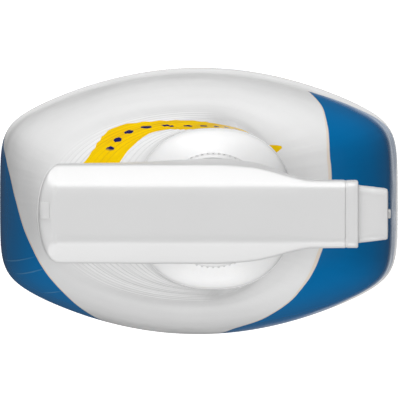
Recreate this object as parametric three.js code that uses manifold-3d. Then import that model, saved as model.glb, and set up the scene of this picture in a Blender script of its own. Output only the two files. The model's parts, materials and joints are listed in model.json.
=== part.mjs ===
// A trigger spray bottle for a household cleaner: a blow-moulded bottle with a pistol grip and a
// 28 mm screw neck, a printed shrink sleeve, and a piston sprayer that the trigger works.
// Millimetres. +Z is up, +X is the way it sprays, and the origin is the middle of the base.
import * as THREE from "three";
import { mergeVertices } from "three/addons/utils/BufferGeometryUtils.js";
import Module from "manifold-3d";

const wasm = await Module();
wasm.setup();

// ---- Driving dimensions -------------------------------------------------------------------

const bottle = {
  halfLength: 57.6, // of the body, along X, without the sleeve
  halfWidth: 38.2, // of the body, along Y, without the sleeve
  bodyTop: 104, // where the straight body gives way to the shoulder
  gripTop: 190, // the widest level of the bulge that the closure stands over
  sideBow: 0.43, // how far each long side falls back towards the ends, as a share of the half width
  cornerSharpness: 16, // a larger number makes tighter upright corners
  wall: 1.1,
  pushUp: 2.5, // height of the hollow under the base
};
const neck = { x: 5.5, radius: 12.6, wall: 2, height: 11 };
const thread = { pitch: 25.4 / 6, foot: 3.8, height: 1, turns: 1.25, overlap: 0.55 };
const sleeve = { gap: 0.3, film: 0.35, bottom: 6 }; // it ends level with the top of the grip
const closure = { wall: 1.2, lip: 1.3, lift: 1.8, ledge: 3.3, play: 0.6 };
const gasket = 1.2; // thickness of the ring under the sprayer's flange
const pump = { axisUp: 13.8, bore: 7.5, wall: 1.7, back: 2.6 };
const barrel = { up: 41, radius: 3, bore: 1.3 };
const riser = { radius: 4.6, passage: 1.4, chamber: 2.6, seatUp: 24.8 };
const vent = { radius: 0.6, inset: 7.2, behindNose: 3.6 };
const shroud = { wall: 1.3, overBarrel: 8.8, flatHalf: 6.9, rear: 44.9, bevel: 1.05 };
const trigger = { pivotX: 27.5, hub: 2.4, trunnion: 1.9, halfWidth: 6.9, skin: 1.5 };
const ears = { inner: 5.3, outer: 6.8, half: 4.5, drop: 4, rise: 8.5 };
const nozzle = { gap: 0.6, flangeHalf: 8.7, flange: 3, rootHalf: 7.9, tipHalf: 6.7, length: 10.6 };
const balls = { intake: 2, outlet: 2.1, play: 0.1 };
const dipTube = { radius: 2.5, bore: 1.7, fromFront: 22, footUp: 7 };
const spring = { radius: 4.4, wire: 0.4, turns: 5 };
const clearance = 0.3; // between pieces that face each other without touching
const slip = 0.15; // round a piece that slides or turns in another
const fine = 36;
const coarse = 20;

// Levels and lengths that follow from the sizes above.
const neckBase = bottle.gripTop + 10;
const land = neckBase + neck.height; // the neck's top face
const neckBore = neck.radius - neck.wall;
const flangeBottom = land + gasket;
const flangeTop = flangeBottom + 1.2;
const closureInner = neck.radius + thread.height + closure.play;
const closureOuter = closureInner + closure.wall;
const closureMouth = neck.radius - closure.ledge;
const lipBottom = flangeTop + 0.2;
const closureTop = lipBottom + closure.lip;
const pumpZ = flangeBottom + pump.axisUp;
const barrelZ = flangeBottom + barrel.up;
const shroudTop = barrelZ + shroud.overBarrel;
const shroudFront = neck.x + trigger.pivotX + 7;
const barrelEnd = shroudFront + 7.4;
const riserTop = barrelZ + 4.8;
const seatZ = flangeBottom + riser.seatUp;
const pivot = { x: neck.x + trigger.pivotX, z: barrelZ - barrel.radius - trigger.hub - clearance };
const pumpBack = neck.x + pump.back;
const pumpFront = pivot.x - 6.4;
const pistonNose = pumpFront - 7.5; // the piston's inner face when it is at rest
const ventPort = pistonNose + vent.behindNose; // between the two seals at rest
const dipFoot = bottle.halfLength - dipTube.fromFront;

// ---- Solids -------------------------------------------------------------------------------

// A closed three.js geometry as a solid.
function solidFrom(geometry) {
  const bare = geometry.index ? geometry.toNonIndexed() : geometry.clone();
  bare.deleteAttribute("normal");
  bare.deleteAttribute("uv");
  const merged = mergeVertices(bare, 1e-4);
  return new wasm.Manifold(
    new wasm.Mesh({
      numProp: 3,
      vertProperties: merged.attributes.position.array,
      triVerts: new Uint32Array(merged.index.array),
    }),
  );
}

function geometryFrom(solid) {
  const mesh = solid.getMesh();
  const geometry = new THREE.BufferGeometry();
  geometry.setAttribute("position", new THREE.BufferAttribute(mesh.vertProperties, 3));
  geometry.setIndex(new THREE.BufferAttribute(mesh.triVerts, 1));
  geometry.computeVertexNormals();
  return geometry;
}

function union(...solids) {
  return solids.reduce((whole, next) => whole.add(next));
}

function cut(solid, ...tools) {
  return tools.reduce((whole, next) => whole.subtract(next), solid);
}

// Rings of points, each with the same count, joined in order and closed by a fan at each end.
function loft(rings) {
  const count = rings[0].length;
  const positions = rings.flat().flatMap((p) => [p.x, p.y, p.z]);
  const faces = [];
  for (let r = 0; r + 1 < rings.length; r += 1) {
    for (let i = 0; i < count; i += 1) {
      const a = r * count + i;
      const b = r * count + ((i + 1) % count);
      faces.push(a, b, b + count, a, b + count, a + count);
    }
  }
  for (const [ring, start, turned] of [
    [rings[0], 0, true],
    [rings.at(-1), (rings.length - 1) * count, false],
  ]) {
    const middle = ring.reduce((sum, p) => sum.add(p), new THREE.Vector3()).divideScalar(count);
    const hub = positions.length / 3;
    positions.push(middle.x, middle.y, middle.z);
    for (let i = 0; i < count; i += 1) {
      const next = start + ((i + 1) % count);
      faces.push(...(turned ? [next, start + i, hub] : [start + i, next, hub]));
    }
  }
  const corner = (k) => new THREE.Vector3().fromArray(positions, faces[k] * 3);
  let volume = 0;
  for (let k = 0; k < faces.length; k += 3) {
    volume += corner(k).dot(corner(k + 1).cross(corner(k + 2)));
  }
  if (volume < 0) faces.reverse();
  const geometry = new THREE.BufferGeometry();
  geometry.setAttribute("position", new THREE.Float32BufferAttribute(positions, 3));
  geometry.setIndex(faces);
  return solidFrom(geometry);
}

// A round bar along an axis, from low to high on it, through the point given by the other two.
function bar(axis, radius, low, high, at, sides = coarse) {
  const geometry = new THREE.CylinderGeometry(radius, radius, high - low, sides);
  if (axis === "x") geometry.rotateZ(-Math.PI / 2);
  if (axis === "z") geometry.rotateX(Math.PI / 2);
  const place = { x: at.x ?? 0, y: at.y ?? 0, z: at.z ?? 0 };
  place[axis] = (low + high) / 2;
  geometry.translate(place.x, place.y, place.z);
  return solidFrom(geometry);
}

function block(x, y, z) {
  const geometry = new THREE.BoxGeometry(x[1] - x[0], y[1] - y[0], z[1] - z[0]);
  geometry.translate((x[0] + x[1]) / 2, (y[0] + y[1]) / 2, (z[0] + z[1]) / 2);
  return solidFrom(geometry);
}

// A profile of [radius, distance along the axis] pairs turned about an axis through a point.
function turned(profile, axis, at, sides = coarse) {
  const points = profile.map(([r, along]) => new THREE.Vector2(r, along));
  const geometry = new THREE.LatheGeometry(points, sides);
  if (axis === "x") geometry.rotateZ(-Math.PI / 2);
  else geometry.rotateX(Math.PI / 2);
  geometry.translate(at.x ?? 0, 0, at.z ?? 0);
  const solid = solidFrom(geometry);
  return solid.volume() < 0 ? turned([...profile].reverse(), axis, at, sides) : solid;
}

// A ring of square section about an axis.
function ring(axis, inner, outer, low, high, at, sides = coarse) {
  const hole = bar(axis, inner, low - 1, high + 1, at, sides);
  return cut(bar(axis, outer, low, high, at, sides), hole);
}

// A side view in X and Z, given half a width each way along Y.
function slab(outline, half) {
  const shape = new THREE.Shape(outline.map(([x, z]) => new THREE.Vector2(x, z)));
  const geometry = new THREE.ExtrudeGeometry(shape, { depth: 2 * half, bevelEnabled: false });
  geometry.rotateX(Math.PI / 2);
  geometry.translate(0, half, 0);
  return solidFrom(geometry);
}

// A screw thread's ridge, its root sunk into the wall that carries it. Both ridges lie on the
// neck's helix, the closure's lagging half a pitch behind, so they stay apart as the cap turns.
function threadRidge({ root, crest, rootHalf, crestHalf, lag, from, turns }) {
  const perTurn = 20;
  const rings = [];
  for (let step = 0; step <= turns * perTurn; step += 1) {
    const turn = from + step / perTurn;
    const angle = turn * 2 * Math.PI;
    const z = neckBase + thread.foot + turn * thread.pitch - lag;
    const ends = Math.min(1, step / 2 + 0.3, (turns * perTurn - step) / 2 + 0.3);
    const tip = root + (crest - root) * ends;
    const corners = [[root, -rootHalf], [tip, -crestHalf], [tip, crestHalf], [root, rootHalf]];
    rings.push(corners.map(([radius, up]) => new THREE.Vector3(
      neck.x + radius * Math.cos(angle),
      radius * Math.sin(angle),
      z + up,
    )));
  }
  return loft(rings);
}

// ---- The bottle's shape -------------------------------------------------------------------

// Level by level: where the back and front lie on X, the middle they are measured from, the
// half width, and how far the section has turned from the body's barrel shape into an oval.
const { halfLength: long, halfWidth: wide, bodyTop: high, gripTop: grip } = bottle;
const gripFoot = grip - 38;
const shoulder = (share) => high + share * (gripFoot - high);
const levels = [
  { z: 0, middle: 0, back: -long + 5.8, front: long - 5.8, side: wide - 5.2, oval: 0 },
  { z: 2.5, middle: 0, back: -long + 2.1, front: long - 2.1, side: wide - 1.9, oval: 0 },
  { z: 8, middle: 0, back: -long + 0.3, front: long - 0.3, side: wide - 0.3, oval: 0 },
  { z: 22, middle: 0, back: -long, front: long, side: wide, oval: 0 },
  { z: high - 34, middle: 0, back: -long + 0.2, front: long - 0.2, side: wide - 0.2, oval: 0 },
  { z: high, middle: 0, back: -long + 2, front: long - 2.3, side: wide - 1.1, oval: 0 },
  { z: shoulder(0.21), middle: 0, back: -long + 3.1, front: long - 3.5, side: wide - 1.8, oval: 0.05 },
  { z: shoulder(0.42), middle: 0, back: -long + 5.1, front: long - 6.3, side: wide - 3.2, oval: 0.15 },
  { z: shoulder(0.63), middle: 0.5, back: -long + 7.6, front: long - 11.2, side: wide - 5.4, oval: 0.35 },
  { z: shoulder(0.84), middle: 1, back: -long + 10.9, front: long - 19, side: wide - 8.4, oval: 0.6 },
  { z: gripFoot, middle: 1.5, back: neck.x - 49.2, front: neck.x + 25, side: 27.2, oval: 0.8 },
  { z: grip - 30, middle: 2, back: neck.x - 45, front: neck.x + 19, side: 25.2, oval: 0.95 },
  { z: grip - 22, middle: 3, back: neck.x - 39.6, front: neck.x + 16.6, side: 23.6, oval: 1 },
  { z: grip - 14, middle: 4, back: neck.x - 33.2, front: neck.x + 17, side: 22.5, oval: 1 },
  { z: grip - 6, middle: neck.x - 0.5, back: neck.x - 26, front: neck.x + 20, side: 21.9, oval: 1 },
  { z: grip, middle: neck.x, back: neck.x - 21.6, front: neck.x + 21.4, side: 21.7, oval: 1 },
  { z: grip + 5, middle: neck.x, back: neck.x - 20, front: neck.x + 20, side: 20.2, oval: 1 },
  { z: grip + 8.5, middle: neck.x, back: neck.x - 16.6, front: neck.x + 16.6, side: 16.6, oval: 1 },
];

// How far out the section's edge is, as a multiple of the oval through the same four ends.
function reach(angle, oval) {
  const c = Math.abs(Math.cos(angle));
  const s = Math.abs(Math.sin(angle));
  const end = 1 / Math.max(c, 1e-6);
  const bow = Math.max(bottle.sideBow * c * c, 1e-9);
  const long = (Math.sqrt(s * s + 4 * bow) - s) / (2 * bow);
  const sharp = bottle.cornerSharpness;
  const barrelShape = (end ** -sharp + long ** -sharp) ** (-1 / sharp);
  const fullness = 2.2;
  const ovalShape = (c ** fullness + s ** fullness) ** (-1 / fullness);
  return barrelShape + (ovalShape - barrelShape) * oval;
}

// One level's edge, moved out by a distance, as points at a height.
function sectionRing(level, out, z = level.z, share = 1) {
  return Array.from({ length: fine }, (_, i) => {
    const angle = (i / fine) * 2 * Math.PI;
    const end = Math.cos(angle) > 0 ? level.front - level.middle : level.middle - level.back;
    const far = reach(angle, level.oval) * share;
    return new THREE.Vector3(
      level.middle + far * (end + out) * Math.cos(angle),
      far * (level.side + out) * Math.sin(angle),
      z,
    );
  });
}

function neckRing(radius, z) {
  return Array.from({ length: fine }, (_, i) => {
    const angle = (i / fine) * 2 * Math.PI;
    return new THREE.Vector3(neck.x + radius * Math.cos(angle), radius * Math.sin(angle), z);
  });
}

// The hollow under the base, grown by a wall where the inside has to clear it.
function pushUp(grow) {
  return loft([
    sectionRing(levels[0], grow, -1, 0.84),
    sectionRing(levels[0], grow, grow, 0.8),
    sectionRing(levels[0], grow, bottle.pushUp + grow, 0.66),
  ]);
}

function makeBottle() {
  const outside = loft([
    ...levels.map((level) => sectionRing(level, 0)),
    neckRing(neck.radius, neckBase),
    neckRing(neck.radius, land),
  ]);
  const upper = levels.filter((level) => level.z > bottle.wall);
  const inside = loft([
    sectionRing(levels[0], -bottle.wall, bottle.wall),
    ...upper.map((level) => sectionRing(level, -bottle.wall)),
    neckRing(neckBore, neckBase - 0.4),
    neckRing(neckBore, land + 1),
  ]);
  const ridge = threadRidge({
    root: neck.radius - 0.3,
    crest: neck.radius + thread.height,
    rootHalf: 0.95,
    crestHalf: 0.5,
    lag: 0,
    from: 0,
    turns: thread.turns,
  });
  const hollow = cut(inside, pushUp(bottle.wall));
  return union(cut(outside, hollow, pushUp(0)), ridge);
}

function makeSleeve() {
  const covered = levels.filter((l) => l.z > sleeve.bottom + 1 && l.z <= bottle.gripTop);
  const foot = covered[0];
  const wrap = (out, past) => loft([
    sectionRing(foot, out - 0.3, sleeve.bottom - past),
    ...covered.slice(0, -1).map((level) => sectionRing(level, out)),
    sectionRing(covered.at(-1), out, bottle.gripTop + past),
  ]);
  return cut(wrap(sleeve.gap + sleeve.film, 0), wrap(sleeve.gap, 1e-2));
}

// ---- The closure and what it holds --------------------------------------------------------

function makeClosure() {
  const bottom = neckBase + closure.lift;
  const cap = cut(
    bar("z", closureOuter, bottom, closureTop, neck, fine),
    bar("z", closureInner, bottom - 1, lipBottom, neck, fine),
    bar("z", closureMouth, bottom, closureTop + 1, neck, fine),
  );
  const ridge = threadRidge({
    root: closureInner + 0.3,
    crest: neck.radius + thread.height - thread.overlap,
    rootHalf: 0.75,
    crestHalf: 0.35,
    lag: thread.pitch / 2,
    from: 0.25,
    turns: thread.turns,
  });
  return union(cap, ridge);
}

function makeGasket() {
  return ring("z", neckBore + 0.2, neck.radius + 0.6, land, flangeBottom, neck, fine);
}

const socket = { radius: 4.3, ceiling: flangeBottom + 9.3 };
const retainer = { bottom: land - 5, seat: flangeBottom + 4.4, top: socket.ceiling - clearance };
const tubeTop = flangeBottom + 2.8;

function makeTubeRetainer() {
  const body = union(
    bar("z", socket.radius - 0.2, retainer.bottom, retainer.top, neck),
    bar("z", 6.5, flangeBottom - 1.6, flangeBottom - 0.2, neck),
  );
  return cut(
    body,
    bar("z", dipTube.radius + 0.1, retainer.bottom - 1, tubeTop + 0.2, neck),
    bar("z", riser.passage, tubeTop, retainer.seat + 1, neck),
    bar("z", balls.intake + 0.35, retainer.seat, retainer.top + 1, neck),
  );
}

// A ball's resting height over a round seat of the passage's radius.
function restingHeight(radius, seat) {
  return seat + Math.sqrt(radius ** 2 - riser.passage ** 2) + balls.play;
}

function makeBall(radius, seat) {
  const geometry = new THREE.SphereGeometry(radius, 12, 8);
  geometry.translate(neck.x, 0, restingHeight(radius, seat));
  return solidFrom(geometry);
}

function makeDipTube() {
  const foot = dipTube.footUp;
  const route = new THREE.CatmullRomCurve3([
    new THREE.Vector3(neck.x, 0, tubeTop),
    new THREE.Vector3(neck.x, 0, land - 12),
    new THREE.Vector3(neck.x + 1.5, 0, land - 60),
    new THREE.Vector3(dipFoot - 17, 0, foot + 60),
    new THREE.Vector3(dipFoot, 0, foot),
  ]);
  const tube = (radius) => {
    const circle = new THREE.Shape();
    circle.absarc(0, 0, radius, 0, 2 * Math.PI);
    const settings = { steps: 14, extrudePath: route, bevelEnabled: false, curveSegments: 4 };
    return solidFrom(new THREE.ExtrudeGeometry(circle, settings));
  };
  const opening = (x, z) => bar("z", dipTube.bore, z - 1, z + 1, { x });
  return cut(
    tube(dipTube.radius),
    tube(dipTube.bore),
    opening(neck.x, tubeTop),
    opening(dipFoot, foot),
  );
}

// ---- The sprayer --------------------------------------------------------------------------

function makeSprayerBody() {
  const outer = pump.bore + pump.wall;
  const stem = closureMouth - 0.5;
  const earX = [pivot.x - ears.half, pivot.x + ears.half];
  const bridgeBottom = pivot.z + ears.rise - 1.6;
  const housing = union(
    bar("z", neck.radius + clearance, flangeBottom, flangeTop, neck, fine),
    bar("z", stem, flangeTop - 0.1, closureTop + 3, neck, fine),
    block([neck.x - 9, neck.x + 8], [-8, 8], [closureTop + 1.6, pumpZ + outer - 1]),
    bar("x", outer, neck.x - 4, pumpFront, { z: pumpZ }, fine),
    bar("z", riser.radius, pumpZ, riserTop, neck),
    bar("x", barrel.radius, neck.x, barrelEnd, { z: barrelZ }),
    block([neck.x, pumpFront - 1], [-1.2, 1.2], [pumpZ + outer - 0.5, barrelZ]),
    block([neck.x + 6, ventPort + 1.8], [-2, 2], [closureTop + 0.5, pumpZ - pump.bore - 0.3]),
    block(earX, [-ears.outer, -ears.inner], [pivot.z - ears.drop, pivot.z + ears.rise]),
    block(earX, [ears.inner, ears.outer], [pivot.z - ears.drop, pivot.z + ears.rise]),
    block(earX, [-ears.outer, ears.outer], [bridgeBottom, pivot.z + ears.rise]),
  );
  const duct = pumpZ - pump.bore - 1.6;
  const ventFoot = neck.x + vent.inset;
  return cut(
    housing,
    bar("x", pump.bore, pumpBack, pumpFront + 1, { z: pumpZ }, fine),
    bar("z", socket.radius, flangeBottom - 1, socket.ceiling, neck),
    bar("z", riser.passage, socket.ceiling - 1, seatZ + 1, neck, 12),
    bar("z", riser.chamber, seatZ, riserTop + 1, neck, 16),
    bar("x", 1.2, neck.x, pumpBack + 1, { z: pumpZ - 2 }, 10),
    bar("x", barrel.bore, neck.x, barrelEnd + 1, { z: barrelZ }, 12),
    bar("y", trigger.trunnion + 0.25, -9, 9, pivot),
    bar("z", vent.radius, flangeBottom - 1, duct + 0.2, { x: ventFoot }, 8),
    bar("x", vent.radius, ventFoot - 0.3, ventPort + 0.3, { z: duct }, 8),
    bar("z", vent.radius, duct - 0.2, pumpZ - pump.bore + 1, { x: ventPort }, 8),
  );
}

function makeOutletPlug() {
  const lift = 1.5;
  const ballTop = restingHeight(balls.outlet, seatZ) + balls.outlet;
  return union(
    bar("z", 3.6, riserTop, riserTop + 1.2, neck),
    bar("z", riser.chamber - slip, barrelZ + barrel.bore + 0.5, riserTop + 0.1, neck, 16),
    bar("z", 1, ballTop + lift + 0.2, riserTop, neck, 10),
  );
}

const pistonStem = 3.2;

function makePiston() {
  const end = pivot.x - 2.1;
  return turned([
    [0, pistonNose],
    [pump.bore - 2.3, pistonNose],
    [pump.bore - 2.3, pistonNose + 0.6],
    [pistonStem + 0.1, pistonNose + 0.6],
    [pistonStem + 0.1, pistonNose + 3],
    [pump.bore - 0.9, pistonNose + 3],
    [pump.bore - 0.9, pistonNose + 4.2],
    [pistonStem, pistonNose + 4.2],
    [pistonStem, end - 1.6],
    [pistonStem - 1.2, end - 0.4],
    [0, end],
  ], "x", { z: pumpZ });
}

function makePistonSeal(from, to) {
  const [low, high] = [pistonNose + from, pistonNose + to];
  return ring("x", pistonStem + 0.2, pump.bore - slip, low, high, { z: pumpZ });
}

function makeSpring() {
  const start = pumpBack + spring.wire + 0.3;
  const length = pistonNose - pumpBack - 2 * spring.wire - 0.6;
  class Helix extends THREE.Curve {
    getPoint(t) {
      const angle = t * spring.turns * 2 * Math.PI;
      return new THREE.Vector3(
        start + t * length,
        spring.radius * Math.cos(angle),
        pumpZ + spring.radius * Math.sin(angle),
      );
    }
  }
  const wire = new THREE.Shape();
  wire.absarc(0, 0, spring.wire, 0, 2 * Math.PI);
  const steps = spring.turns * 12;
  const settings = { steps, extrudePath: new Helix(), bevelEnabled: false, curveSegments: 3 };
  return solidFrom(new THREE.ExtrudeGeometry(wire, settings));
}

// The side view of the trigger: points from the pivot, down the front and back up.
function triggerOutline(back = 0) {
  const front = new THREE.SplineCurve([
    new THREE.Vector2(1.6, 1.8),
    new THREE.Vector2(4.6, -4),
    new THREE.Vector2(5.6, -14),
    new THREE.Vector2(7.6, -25),
    new THREE.Vector2(8.2, -35),
    new THREE.Vector2(7.8, -41.5),
    new THREE.Vector2(9, -46.5),
  ]).getPoints(12);
  const rear = new THREE.SplineCurve([
    new THREE.Vector2(6.4, -47.3),
    new THREE.Vector2(3.6, -43),
    new THREE.Vector2(3.2, -34),
    new THREE.Vector2(2.2, -25),
    new THREE.Vector2(0.2, -14),
    new THREE.Vector2(-1.9, -4),
    new THREE.Vector2(-1.6, 1.8),
  ]).getPoints(10);
  return [...front, ...rear].map((p) => [pivot.x + p.x - back, pivot.z + p.y]);
}

function makeTrigger() {
  const half = trigger.halfWidth;
  const neckHalf = ears.inner - clearance;
  const earFoot = pivot.z - ears.drop - 1.2;
  const blade = cut(
    slab(triggerOutline(), half),
    block([0, 99], [neckHalf, 9], [earFoot, pivot.z + 9]),
    block([0, 99], [-9, -neckHalf], [earFoot, pivot.z + 9]),
  );
  const channel = slab(triggerOutline(1.8), half - trigger.skin)
    .intersect(block([0, 99], [-9, 9], [pivot.z - 44, pivot.z - 6]));
  const pad = block(
    [pivot.x - 1.6, pivot.x + 6],
    [-3.4, 3.4],
    [pumpZ - 1.6, pumpZ + 1.6],
  );
  return union(
    cut(blade, channel),
    pad,
    bar("y", trigger.hub, -neckHalf, neckHalf, pivot),
    bar("y", trigger.trunnion, -ears.outer + slip, ears.outer - slip, pivot),
  );
}

// ---- The shroud ---------------------------------------------------------------------------

// Station by station along X from the neck: half widths at the bevel and at the lower edge, how
// far the top is below the flat, and the lower edge's height as a share of the shroud's.
const nose = trigger.pivotX;
const stations = [
  { x: -shroud.rear, upper: 6, lower: 6.4, drop: 3.4, foot: 0.743 },
  { x: -shroud.rear + 1.2, upper: 9.2, lower: 9.7, drop: 1.3, foot: 0.703 },
  { x: -shroud.rear + 3.4, upper: 11.4, lower: 11.8, drop: 0.3, foot: 0.663 },
  { x: -shroud.rear + 7.4, upper: 12.6, lower: 12.9, drop: 0, foot: 0.612 },
  { x: -shroud.rear + 19.9, upper: 12.7, lower: 13, drop: 0, foot: 0.482 },
  { x: -17.5, upper: 12.7, lower: 13.1, drop: 0, foot: 0.301 },
  { x: -13.5, upper: 12.7, lower: 13.3, drop: 0, foot: 0.129 },
  { x: 1, upper: 12.7, lower: 13.9, drop: 0, foot: 0.108 },
  { x: nose - 17.5, upper: 12.2, lower: 13.1, drop: 0, foot: 0.129 },
  { x: nose - 12, upper: 11.2, lower: 11.7, drop: 0, foot: 0.321 },
  { x: nose - 7, upper: 9.8, lower: 10, drop: 0, foot: 0.542 },
  { x: nose - 1.5, upper: 8.8, lower: 8.8, drop: 0, foot: 0.635 },
  { x: nose + 7, upper: 8.7, lower: 8.7, drop: 0, foot: 0.649 },
];

function shroudRing(station, inset, x = station.x, below = 0) {
  const top = shroudTop - station.drop - inset;
  const bottom = flangeBottom + station.foot * (shroudTop - flangeBottom);
  const flat = Math.min(shroud.flatHalf, station.upper - 0.8) - inset * 0.6;
  const upper = station.upper - inset;
  const bevelZ = top - (upper - flat) * shroud.bevel;
  const side = [
    [station.lower - inset, bottom - below],
    [upper, bevelZ],
    [(upper + flat) / 2 + 0.35, (bevelZ + top) / 2 + 0.35],
    [flat, top],
  ];
  const points = [...side, ...side.map(([y, z]) => [-y, z]).reverse()];
  return points.map(([y, z]) => new THREE.Vector3(neck.x + x, y, z));
}

function makeShroud() {
  const outside = loft(stations.map((station) => shroudRing(station, 0)));
  const rear = stations[0];
  const cavity = loft([
    shroudRing(rear, shroud.wall, rear.x + shroud.wall, 9),
    ...stations.slice(2, -1).map((s) => shroudRing(s, shroud.wall, s.x, 9)),
    shroudRing(stations.at(-1), shroud.wall, stations.at(-1).x + 1, 9),
  ]);
  const ceiling = shroudTop - shroud.wall + 0.1;
  const barrelTop = barrelZ + barrel.radius + clearance;
  const rib = (x) => block(
    [neck.x + x, neck.x + x + 1.2],
    [-shroud.flatHalf + 1.5, shroud.flatHalf - 1.5],
    [barrelTop, ceiling],
  );
  return union(cut(outside, cavity), rib(9), rib(17), rib(-22));
}

// ---- The nozzle ---------------------------------------------------------------------------

const nozzleBack = shroudFront + nozzle.gap;
const nozzleTip = nozzleBack + nozzle.length;

function squareRing(half, x) {
  const radius = half * 0.32;
  const points = [];
  for (let corner = 0; corner < 4; corner += 1) {
    for (let step = 0; step <= 3; step += 1) {
      const angle = (corner + step / 3) * (Math.PI / 2);
      const turn = (corner + 0.5) * (Math.PI / 2);
      const middle = (half - radius) * Math.SQRT2;
      points.push(new THREE.Vector3(
        x,
        middle * Math.cos(turn) + radius * Math.cos(angle),
        barrelZ + middle * Math.sin(turn) + radius * Math.sin(angle),
      ));
    }
  }
  return points;
}

const insertRadius = 1.3;
const sealSeat = nozzleBack + 4.4;

function makeNozzleCap() {
  const axis = { z: barrelZ };
  const cap = loft([
    squareRing(nozzle.flangeHalf, nozzleBack),
    squareRing(nozzle.flangeHalf, nozzleBack + nozzle.flange),
    squareRing(nozzle.rootHalf, nozzleBack + nozzle.flange),
    squareRing(nozzle.tipHalf, nozzleTip - 0.5),
    squareRing(nozzle.tipHalf - 0.5, nozzleTip),
  ]);
  return cut(
    cap,
    bar("x", 5.6, nozzleBack - 1, sealSeat, axis),
    bar("x", 4, nozzleBack - 1, barrelEnd + 2.1, axis),
    bar("x", insertRadius, nozzleBack, nozzleTip + 1, axis, 12),
  );
}

function makeNozzleInsert() {
  const axis = { z: barrelZ };
  const outer = insertRadius - 0.05;
  return cut(
    bar("x", outer, nozzleTip - 1.4, nozzleTip + 0.8, axis, 12),
    bar("x", 0.4, nozzleTip - 2, nozzleTip + 2, axis, 8),
  );
}

function makeNozzleSeal() {
  return ring("x", barrel.radius + slip, 4 - slip, sealSeat + 0.3, sealSeat + 1.7, { z: barrelZ });
}

function makeSpinner() {
  const axis = { z: barrelZ };
  const slot = block(
    [barrelEnd - 5, barrelEnd + 3],
    [-0.35, 0.35],
    [barrelZ + 0.5, barrelZ + 4],
  );
  return cut(
    union(
      bar("x", barrel.bore - slip, barrelEnd - 4, barrelEnd + 0.5, axis, 12),
      bar("x", 2.6, barrelEnd + 0.2, barrelEnd + 1.7, axis),
    ),
    slot,
  );
}

// ---- Assembly -----------------------------------------------------------------------------

const plastic = (color, roughness) => ({ color, roughness, metalness: 0 });
const looks = {
  bottleWhite: plastic(0xf2f2f0, 0.35),
  film: plastic(0x0a6fb5, 0.2),
  sprayWhite: plastic(0xf6f6f6, 0.3),
  naturalPlastic: plastic(0xe6e6de, 0.45),
  softSeal: plastic(0x8f949a, 0.7),
  steel: { color: 0xb8bcc0, roughness: 0.3, metalness: 1 },
  clearTube: plastic(0xdfe6ea, 0.25),
};

const object = new THREE.Group();
function place(name, solid, look) {
  const mesh = new THREE.Mesh(geometryFrom(solid), new THREE.MeshStandardMaterial(look));
  mesh.name = name;
  object.add(mesh);
}

place("bottle", makeBottle(), looks.bottleWhite);
place("label_sleeve", makeSleeve(), looks.film);
place("closure", makeClosure(), looks.sprayWhite);
place("neck_gasket", makeGasket(), looks.softSeal);
place("tube_retainer", makeTubeRetainer(), looks.naturalPlastic);
place("dip_tube", makeDipTube(), looks.clearTube);
place("intake_ball", makeBall(balls.intake, retainer.seat), looks.steel);
place("sprayer_body", makeSprayerBody(), looks.naturalPlastic);
place("outlet_ball", makeBall(balls.outlet, seatZ), looks.steel);
place("outlet_plug", makeOutletPlug(), looks.naturalPlastic);
place("piston", makePiston(), looks.naturalPlastic);
place("piston_seal", makePistonSeal(0.8, 2.8), looks.softSeal);
place("vent_seal", makePistonSeal(4.4, 5.6), looks.softSeal);
place("return_spring", makeSpring(), looks.steel);
place("trigger", makeTrigger(), looks.sprayWhite);
place("shroud", makeShroud(), looks.sprayWhite);
place("spinner", makeSpinner(), looks.naturalPlastic);
place("nozzle_seal", makeNozzleSeal(), looks.softSeal);
place("nozzle_cap", makeNozzleCap(), looks.sprayWhite);
place("nozzle_insert", makeNozzleInsert(), looks.naturalPlastic);

export default object;
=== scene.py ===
"""Dresses a trigger spray bottle for the camera.

The bottle, its printed shrink sleeve and each moulded piece of the sprayer are rebuilt as fine
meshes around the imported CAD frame, each from a class that holds its sizes in millimetres.
"""

import json
import logging
import math
from collections.abc import Callable, Sequence
from dataclasses import dataclass
from enum import Enum

import bmesh
import bpy
import numpy as np
from mathutils import Matrix, Vector


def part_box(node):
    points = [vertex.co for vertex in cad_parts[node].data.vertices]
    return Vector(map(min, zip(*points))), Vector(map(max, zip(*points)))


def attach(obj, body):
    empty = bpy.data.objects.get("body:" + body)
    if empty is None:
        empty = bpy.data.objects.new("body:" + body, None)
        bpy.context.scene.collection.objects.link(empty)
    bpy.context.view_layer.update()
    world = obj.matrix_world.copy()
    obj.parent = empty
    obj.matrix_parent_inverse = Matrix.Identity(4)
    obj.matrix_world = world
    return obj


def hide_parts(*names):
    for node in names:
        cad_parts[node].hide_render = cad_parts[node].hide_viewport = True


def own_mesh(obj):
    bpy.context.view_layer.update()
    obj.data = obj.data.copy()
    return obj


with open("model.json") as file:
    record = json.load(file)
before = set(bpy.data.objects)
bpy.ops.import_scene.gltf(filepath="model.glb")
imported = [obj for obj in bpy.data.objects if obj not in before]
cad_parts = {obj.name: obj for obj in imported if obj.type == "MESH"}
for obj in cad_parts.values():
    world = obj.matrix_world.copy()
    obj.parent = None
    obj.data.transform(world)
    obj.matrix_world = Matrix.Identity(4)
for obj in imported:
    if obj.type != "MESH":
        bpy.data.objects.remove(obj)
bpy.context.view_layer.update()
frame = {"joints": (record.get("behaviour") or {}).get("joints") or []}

logging.basicConfig(level=logging.INFO, format="%(message)s")
log = logging.getLogger("sprayer")

MM = 0.001
Rings = list[np.ndarray]
Profile = Sequence[tuple[float, float]]
Ends = tuple[float, float]
Inputs = dict | Sequence | None


class Axis(Enum):
    """The axis that a turned or swept piece lies along."""

    X = 0
    Y = 1
    Z = 2


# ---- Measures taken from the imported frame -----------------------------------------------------


def corners_mm(node: str) -> tuple[np.ndarray, np.ndarray]:
    """Gives a CAD node's lowest and highest corners.

    Args:
        node: the node's name.

    Returns:
        Two arrays of three millimetre values.
    """
    low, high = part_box(node)
    return np.array(low) / MM, np.array(high) / MM


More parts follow.
